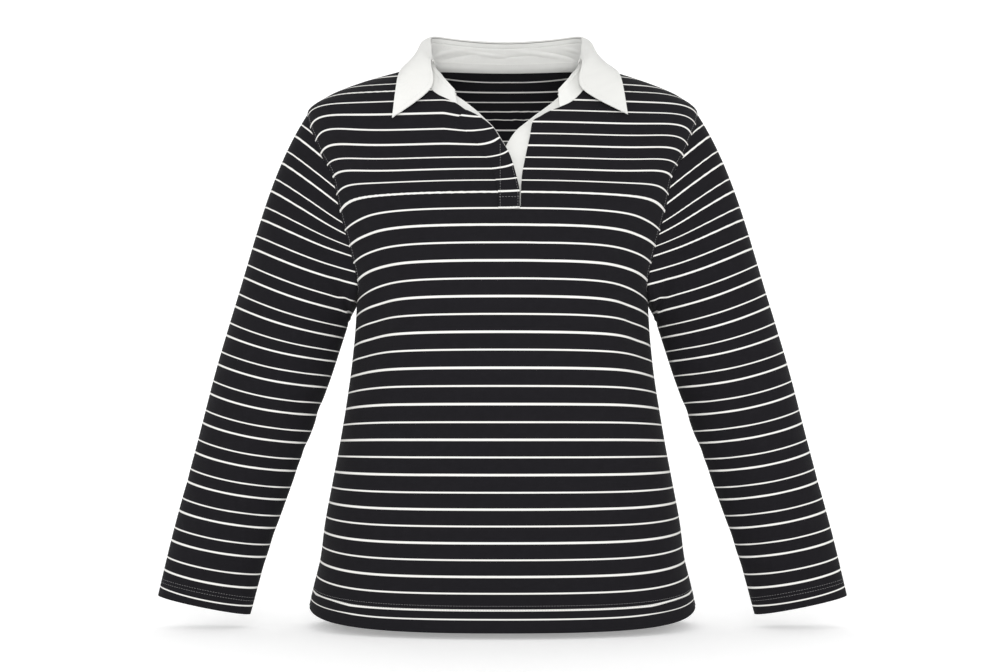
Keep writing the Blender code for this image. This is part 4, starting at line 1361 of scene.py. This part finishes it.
@dataclass
class Stitching:
    """Rows of stitches, made from one modelled stitch and joined by thread."""

    pitch: float = 0.0031
    length: float = 0.0024
    thickness: float = 0.00036
    lines: dict[ThreadTint, list[np.ndarray]] = field(default_factory=dict)
    template: tuple[np.ndarray, np.ndarray] = field(init=False)

    def __post_init__(self) -> None:
        self.template = self.model_stitch()

    def model_stitch(self) -> tuple[np.ndarray, np.ndarray]:
        """Models one stitch along X that rises in its middle, and gives its points and faces."""
        bpy.ops.object.select_all(action="DESELECT")
        bpy.ops.mesh.primitive_uv_sphere_add(segments=6, ring_count=4, radius=1.0,
                                             rotation=(0.0, math.pi / 2, 0.0))
        stitch = bpy.context.active_object
        stitch.scale = (self.thickness / 2, self.thickness / 2, self.length / 2)
        bpy.ops.object.transform_apply(location=False, rotation=True, scale=True)
        triangles = stitch.modifiers.new("triangles", "TRIANGULATE")
        bpy.ops.object.modifier_apply(modifier=triangles.name)
        mesh = stitch.data
        points = np.array([vertex.co for vertex in mesh.vertices])
        faces = np.array([face.vertices for face in mesh.polygons])
        bpy.data.objects.remove(stitch)
        bpy.data.meshes.remove(mesh)
        return points, faces

    def sew(self, points: np.ndarray, normals: np.ndarray, tint: ThreadTint,
            sign: float = 1.0, depth: float = 0.0) -> None:
        """Sews a line of stitches.

        Args:
            points: the line, on the cloth's outside.
            normals: its directions out of the cloth.
            tint: the thread.
            sign: 1 for the outside and -1 for the inside.
            depth: how deep below the outside the sewn face lies.
        """
        steps = np.linalg.norm(np.diff(points, axis=0), axis=1)
        lengths = np.concatenate(((0.0,), np.cumsum(steps)))
        count = max(int(lengths[-1] / self.pitch), 1)
        places = (np.arange(count) + 0.5) * lengths[-1] / count
        half = self.length / 2

        def at(values: np.ndarray, where: np.ndarray) -> np.ndarray:
            return np.stack([np.interp(where, lengths, values[:, i]) for i in range(3)], axis=-1)

        centre = at(points, places)
        out = unit(at(normals, places)) * sign
        ahead = unit(at(points, places + half) - at(points, places - half))
        beside = unit(np.cross(out, ahead))
        out = unit(np.cross(ahead, beside))
        lift = self.thickness * 0.22 + (depth if sign < 0 else 0.0)
        shape, _ = self.template
        placed = (centre + out * lift)[:, None, :] + (
            ahead[:, None, :] * shape[None, :, :1] + beside[:, None, :] * shape[None, :, 1:2]
            + out[:, None, :] * shape[None, :, 2:3])
        self.lines.setdefault(tint, []).append(placed)

    def build(self, wardrobe: Wardrobe) -> None:
        """Joins the stitches of each thread into one piece."""
        for tint, finish in ((ThreadTint.BLACK, DARK_THREAD_PAINTED_HIGHLIGHT), (ThreadTint.WHITE, WHITE_THREAD)):
            stitches = np.concatenate(self.lines.get(tint, []))
            shape, faces = self.template
            starts = np.arange(len(stitches)) * len(shape)
            joined = (faces[None] + starts[:, None, None]).reshape(-1, faces.shape[1])
            mesh = bpy.data.meshes.new(f"stitches_{tint.value}")
            mesh.from_pydata(stitches.reshape(-1, 3).tolist(), [], joined.tolist())
            mesh.shade_smooth()
            Piece(f"stitches_{tint.value}", mesh, wardrobe.of(finish), finish.slot)
            LOG.info("%s stitches: %d", tint.value, len(stitches))


def inset_line(grid: ClothGrid, axis: int, end: int, inset: float,
               span: slice = slice(None)) -> tuple[np.ndarray, np.ndarray]:
    """A line on the cloth at a distance inside one of its edges.

    Args:
        grid: the cloth.
        axis: 0 for a first or last row, 1 for a first or last column.
        end: 0 for the first and -1 for the last.
        inset: the distance from the edge.
        span: which of the edge's points count.

    Returns:
        The line's points and directions.
    """
    points, normals = grid.points, grid.normals
    if axis == 1:
        points, normals = points.transpose(1, 0, 2), normals.transpose(1, 0, 2)
    if end < 0:
        points, normals = points[::-1], normals[::-1]
    points, normals = points[:, span], normals[:, span]
    steps = np.linalg.norm(np.diff(points, axis=0), axis=-1)
    lengths = np.concatenate((np.zeros((1, points.shape[1])), np.cumsum(steps, axis=0)))
    line = []
    outward = []
    for place in range(points.shape[1]):
        line.append([np.interp(inset, lengths[:, place], points[:, place, i]) for i in range(3)])
        outward.append([np.interp(inset, lengths[:, place], normals[:, place, i])
                        for i in range(3)])
    return np.array(line), unit(np.array(outward))


class Shirt:
    """The whole shirt: its panels, sleeves, collar, placket and stitches."""

    FRONT_COLUMNS = 40
    FRONT_MIDDLE = 8
    BACK_COLUMNS = 40

    def __init__(self) -> None:
        self.wardrobe = Wardrobe()
        self.stitching = Stitching()
        neck = TOP_ROW + 1 - len(BACK_NECK)
        self.front_panel = Panel(-1, self.FRONT_COLUMNS, self.FRONT_MIDDLE, SIDE_ROWS + SLIT_STEP,
                                 column(ARMHOLE, "front"), FRONT_FOLDS + FRONT_CREASES)
        self.back_panel = Panel(1, self.BACK_COLUMNS, 1, neck, column(ARMHOLE, "back"),
                                BACK_CREASES, lowered=SIDE_MISMATCH)
        self.front = self.front_panel.grid()
        self.back = self.back_panel.grid()

    def build(self) -> None:
        """Makes every piece."""
        self.build_body()
        sleeves = self.build_sleeves()
        self.build_collar()
        self.build_placket()
        self.sew_body(sleeves)
        self.stitching.build(self.wardrobe)

    def cloth(self, name: str, grid: ClothGrid, wall: float, finish: ClothFinish,
              cut: tuple[float, float], **options) -> bpy.types.Object:
        """Makes one piece of cloth."""
        return ClothPiece(name, grid, wall, finish, cut, **options).build(self.wardrobe)

    def build_body(self) -> None:
        """Makes the front and the back."""
        self.cloth("front", self.front, JERSEY, JERSEY_FINISH, (0.58, 0.72))
        self.cloth("back", self.back, JERSEY, JERSEY_FINISH, (0.56, 0.74))

    def build_sleeves(self) -> list[ClothGrid]:
        """Makes both sleeves."""
        grids = []
        for name, side in (("sleeve_right", -1), ("sleeve_left", 1)):
            sleeve = Sleeve(side, self.front_panel.edge(self.front, side),
                            self.back_panel.edge(self.back, side))
            grids.append(sleeve.grid())
            self.cloth(name, grids[-1], JERSEY, JERSEY_FINISH, (0.48, 0.62))
        return grids

    def build_collar(self) -> None:
        """Makes the collar's stand, leaf and neck tape, and sews them."""
        neckline = Neckline(self.front, self.back, self.FRONT_COLUMNS, self.BACK_COLUMNS,
                            self.FRONT_MIDDLE)
        collar = Collar(neckline)
        stand, leaf, tape = collar.stand(), collar.leaf(), collar.tape()
        self.cloth("collar_stand", stand, STAND_WALL, TWILL_FINISH, (0.56, 0.045))
        self.cloth("collar_leaf", leaf, LEAF_WALL, TWILL_FINISH, (0.60, 0.11), held=Held.FOLDED)
        self.cloth("neck_tape", tape, THIN_WALL, TAPE_FINISH, (0.30, 0.013))
        for axis, end, inset in ((0, -1, 0.006), (1, 0, 0.006), (1, -1, 0.006)):
            points, normals = inset_line(leaf, axis, end, inset)
            span = slice(4, -4) if axis == 0 else slice(12, -2)
            self.stitching.sew(points[span], normals[span], ThreadTint.WHITE)
        points, normals = inset_line(stand, 0, -1, 0.0056)
        self.stitching.sew(points, normals, ThreadTint.WHITE, sign=-1, depth=STAND_WALL)
        for end in (0, -1):
            points, normals = inset_line(tape, 0, end, 0.0013)
            self.stitching.sew(points, normals, ThreadTint.WHITE, sign=-1, depth=THIN_WALL)

    def build_placket(self) -> None:
        """Makes the placket's strips and sews them."""
        overlap = Strip(OVERLAP, striped=True).grid()
        facing = Strip(FACING).grid()
        underlap = Strip(UNDERLAP).grid()
        self.cloth("placket_overlap", overlap, OVERLAP_WALL, JERSEY_FINISH, (0.030, 0.145))
        self.cloth("placket_facing", facing, THIN_WALL, TAPE_FINISH, (0.020, 0.125))
        self.cloth("placket_underlap", underlap, TWILL, TWILL_FINISH, (0.045, 0.145))
        height = np.linspace(-0.1735, -0.1005, 30)
        angle = BODY_FORM.angle_at(np.full(30, -0.0024), height)
        normals = BODY_FORM.normals(angle, height)
        points = BODY_FORM.points(angle, height) - normals * OVERLAP_RISE
        self.stitching.sew(points, normals, ThreadTint.BLACK)
        points, normals = inset_line(overlap, 1, -1, 0.0020)
        self.stitching.sew(points[:18], normals[:18], ThreadTint.BLACK)
        for inset in (0.0015, 0.0130):
            points, normals = inset_line(overlap, 0, 0, inset)
            self.stitching.sew(points, normals, ThreadTint.BLACK)
        points, normals = inset_line(underlap, 1, -1, 0.0020)
        self.stitching.sew(points, normals, ThreadTint.WHITE)

    def sew_body(self, sleeves: Sequence[ClothGrid]) -> None:
        """Sews the hem, vents, armholes and cuffs."""
        for grid in (self.front, self.back):
            for inset in (0.0255, 0.0300):
                points, normals = inset_line(grid, 0, 0, inset)
                self.stitching.sew(points[3:-3], normals[3:-3], ThreadTint.BLACK)
            for end in (0, -1):
                armhole = slice(SIDE_ROWS * DENSITY + 1, -1)
                points, normals = inset_line(grid, 1, end, 0.005, armhole)
                self.stitching.sew(points, normals, ThreadTint.BLACK)
                vent = slice(1, 2 * DENSITY + 3)
                points, normals = inset_line(grid, 1, end, 0.007, vent)
                self.stitching.sew(points, normals, ThreadTint.BLACK)
        for grid in sleeves:
            for inset in (0.0165, 0.0205):
                points, normals = inset_line(grid, 0, -1, inset)
                self.stitching.sew(points, normals, ThreadTint.BLACK)


@dataclass(frozen=True)
class Softbox:
    """A large soft lamp that looks at the shirt's middle."""

    name: str
    place: tuple[float, float, float]
    size: float
    power: float

    def build(self) -> None:
        """Makes the lamp."""
        lamp = bpy.data.lights.new(self.name, "AREA")
        lamp.shape = "SQUARE"
        lamp.size = self.size
        lamp.energy = self.power
        thing = bpy.data.objects.new(self.name, lamp)
        bpy.context.scene.collection.objects.link(thing)
        thing.location = self.place
        towards = np.array((0.0, 0.0, -0.30)) - np.array(self.place)
        direction = thing.location.copy()
        direction.x, direction.y, direction.z = towards
        thing.rotation_euler = direction.to_track_quat("-Z", "Y").to_euler()


@dataclass(frozen=True)
class Studio:
    """A white room with a plain floor, soft light and a camera at the picture's angle."""

    floor_height: float = -0.652
    eye: tuple[float, float, float] = (0.0018, -1.8, -0.421)
    middle_height: float = -0.309
    frame_width: float = 1.1945
    sensor: float = 36.0
    room_light: float = 0.67
    boxes: tuple[Softbox, ...] = (
        Softbox("key_light", (-1.6, -2.4, 1.3), 1.6, 2.5),
        Softbox("fill_light", (1.9, -2.2, 0.5), 1.8, 2.0),
        Softbox("front_light", (0.0, -2.9, 0.2), 1.0, 31.0),
        Softbox("top_light", (0.0, 0.2, 2.4), 1.8, 2.0),
    )

    def build(self) -> None:
        """Makes the room, its light and the camera."""
        bpy.context.scene.view_settings.view_transform = "Standard"
        self.build_room()
        self.build_world()
        for box in self.boxes:
            box.build()
        self.build_camera()

    def build_room(self) -> None:
        """Makes the floor and the backdrop."""
        sheet = NodeSheet("white_paper")
        grain = sheet.node("ShaderNodeTexNoise", "Fac", (("Scale", 40.0), ("Detail", 2.0)))
        tone = sheet.mix(grain, (0.93, 0.93, 0.93, 1.0), (0.95, 0.95, 0.95, 1.0))
        sheet.set(Base_Color=tone, Roughness=0.9, Emission_Color=(1.0, 1.0, 1.0, 1.0),
                  Emission_Strength=0.30)
        for name, place, turn in (
                ("floor", (0.0, 0.0, self.floor_height), (0.0, 0.0, 0.0)),
                ("backdrop", (0.0, 3.0, 2.0), (math.pi / 2, 0.0, 0.0))):
            bpy.ops.object.select_all(action="DESELECT")
            bpy.ops.mesh.primitive_plane_add(size=12.0, location=place, rotation=turn)
            thing = bpy.context.active_object
            thing.name = name
            thing.data.materials.append(sheet.material)

    def build_world(self) -> None:
        """Fills the room with even light."""
        world = bpy.data.worlds.new("room")
        world.use_nodes = True
        background = world.node_tree.nodes["Background"]
        background.inputs["Color"].default_value = (1.0, 1.0, 1.0, 1.0)
        background.inputs["Strength"].default_value = self.room_light
        bpy.context.scene.world = world

    def build_camera(self) -> None:
        """Makes the camera."""
        lens = bpy.data.cameras.new("camera")
        lens.sensor_width = self.sensor
        lens.lens = self.sensor * -self.eye[1] / self.frame_width
        thing = bpy.data.objects.new("camera", lens)
        bpy.context.scene.collection.objects.link(thing)
        thing.location = self.eye
        thing.rotation_euler = (math.pi / 2, 0.0, 0.0)
        lens.shift_y = (self.middle_height - self.eye[2]) / self.frame_width
        bpy.context.scene.camera = thing


def main() -> None:
    """Builds the room and the shirt."""
    logging.basicConfig(level=logging.INFO)
    Studio().build()
    Shirt().build()


if __name__ == "__main__":
    main()
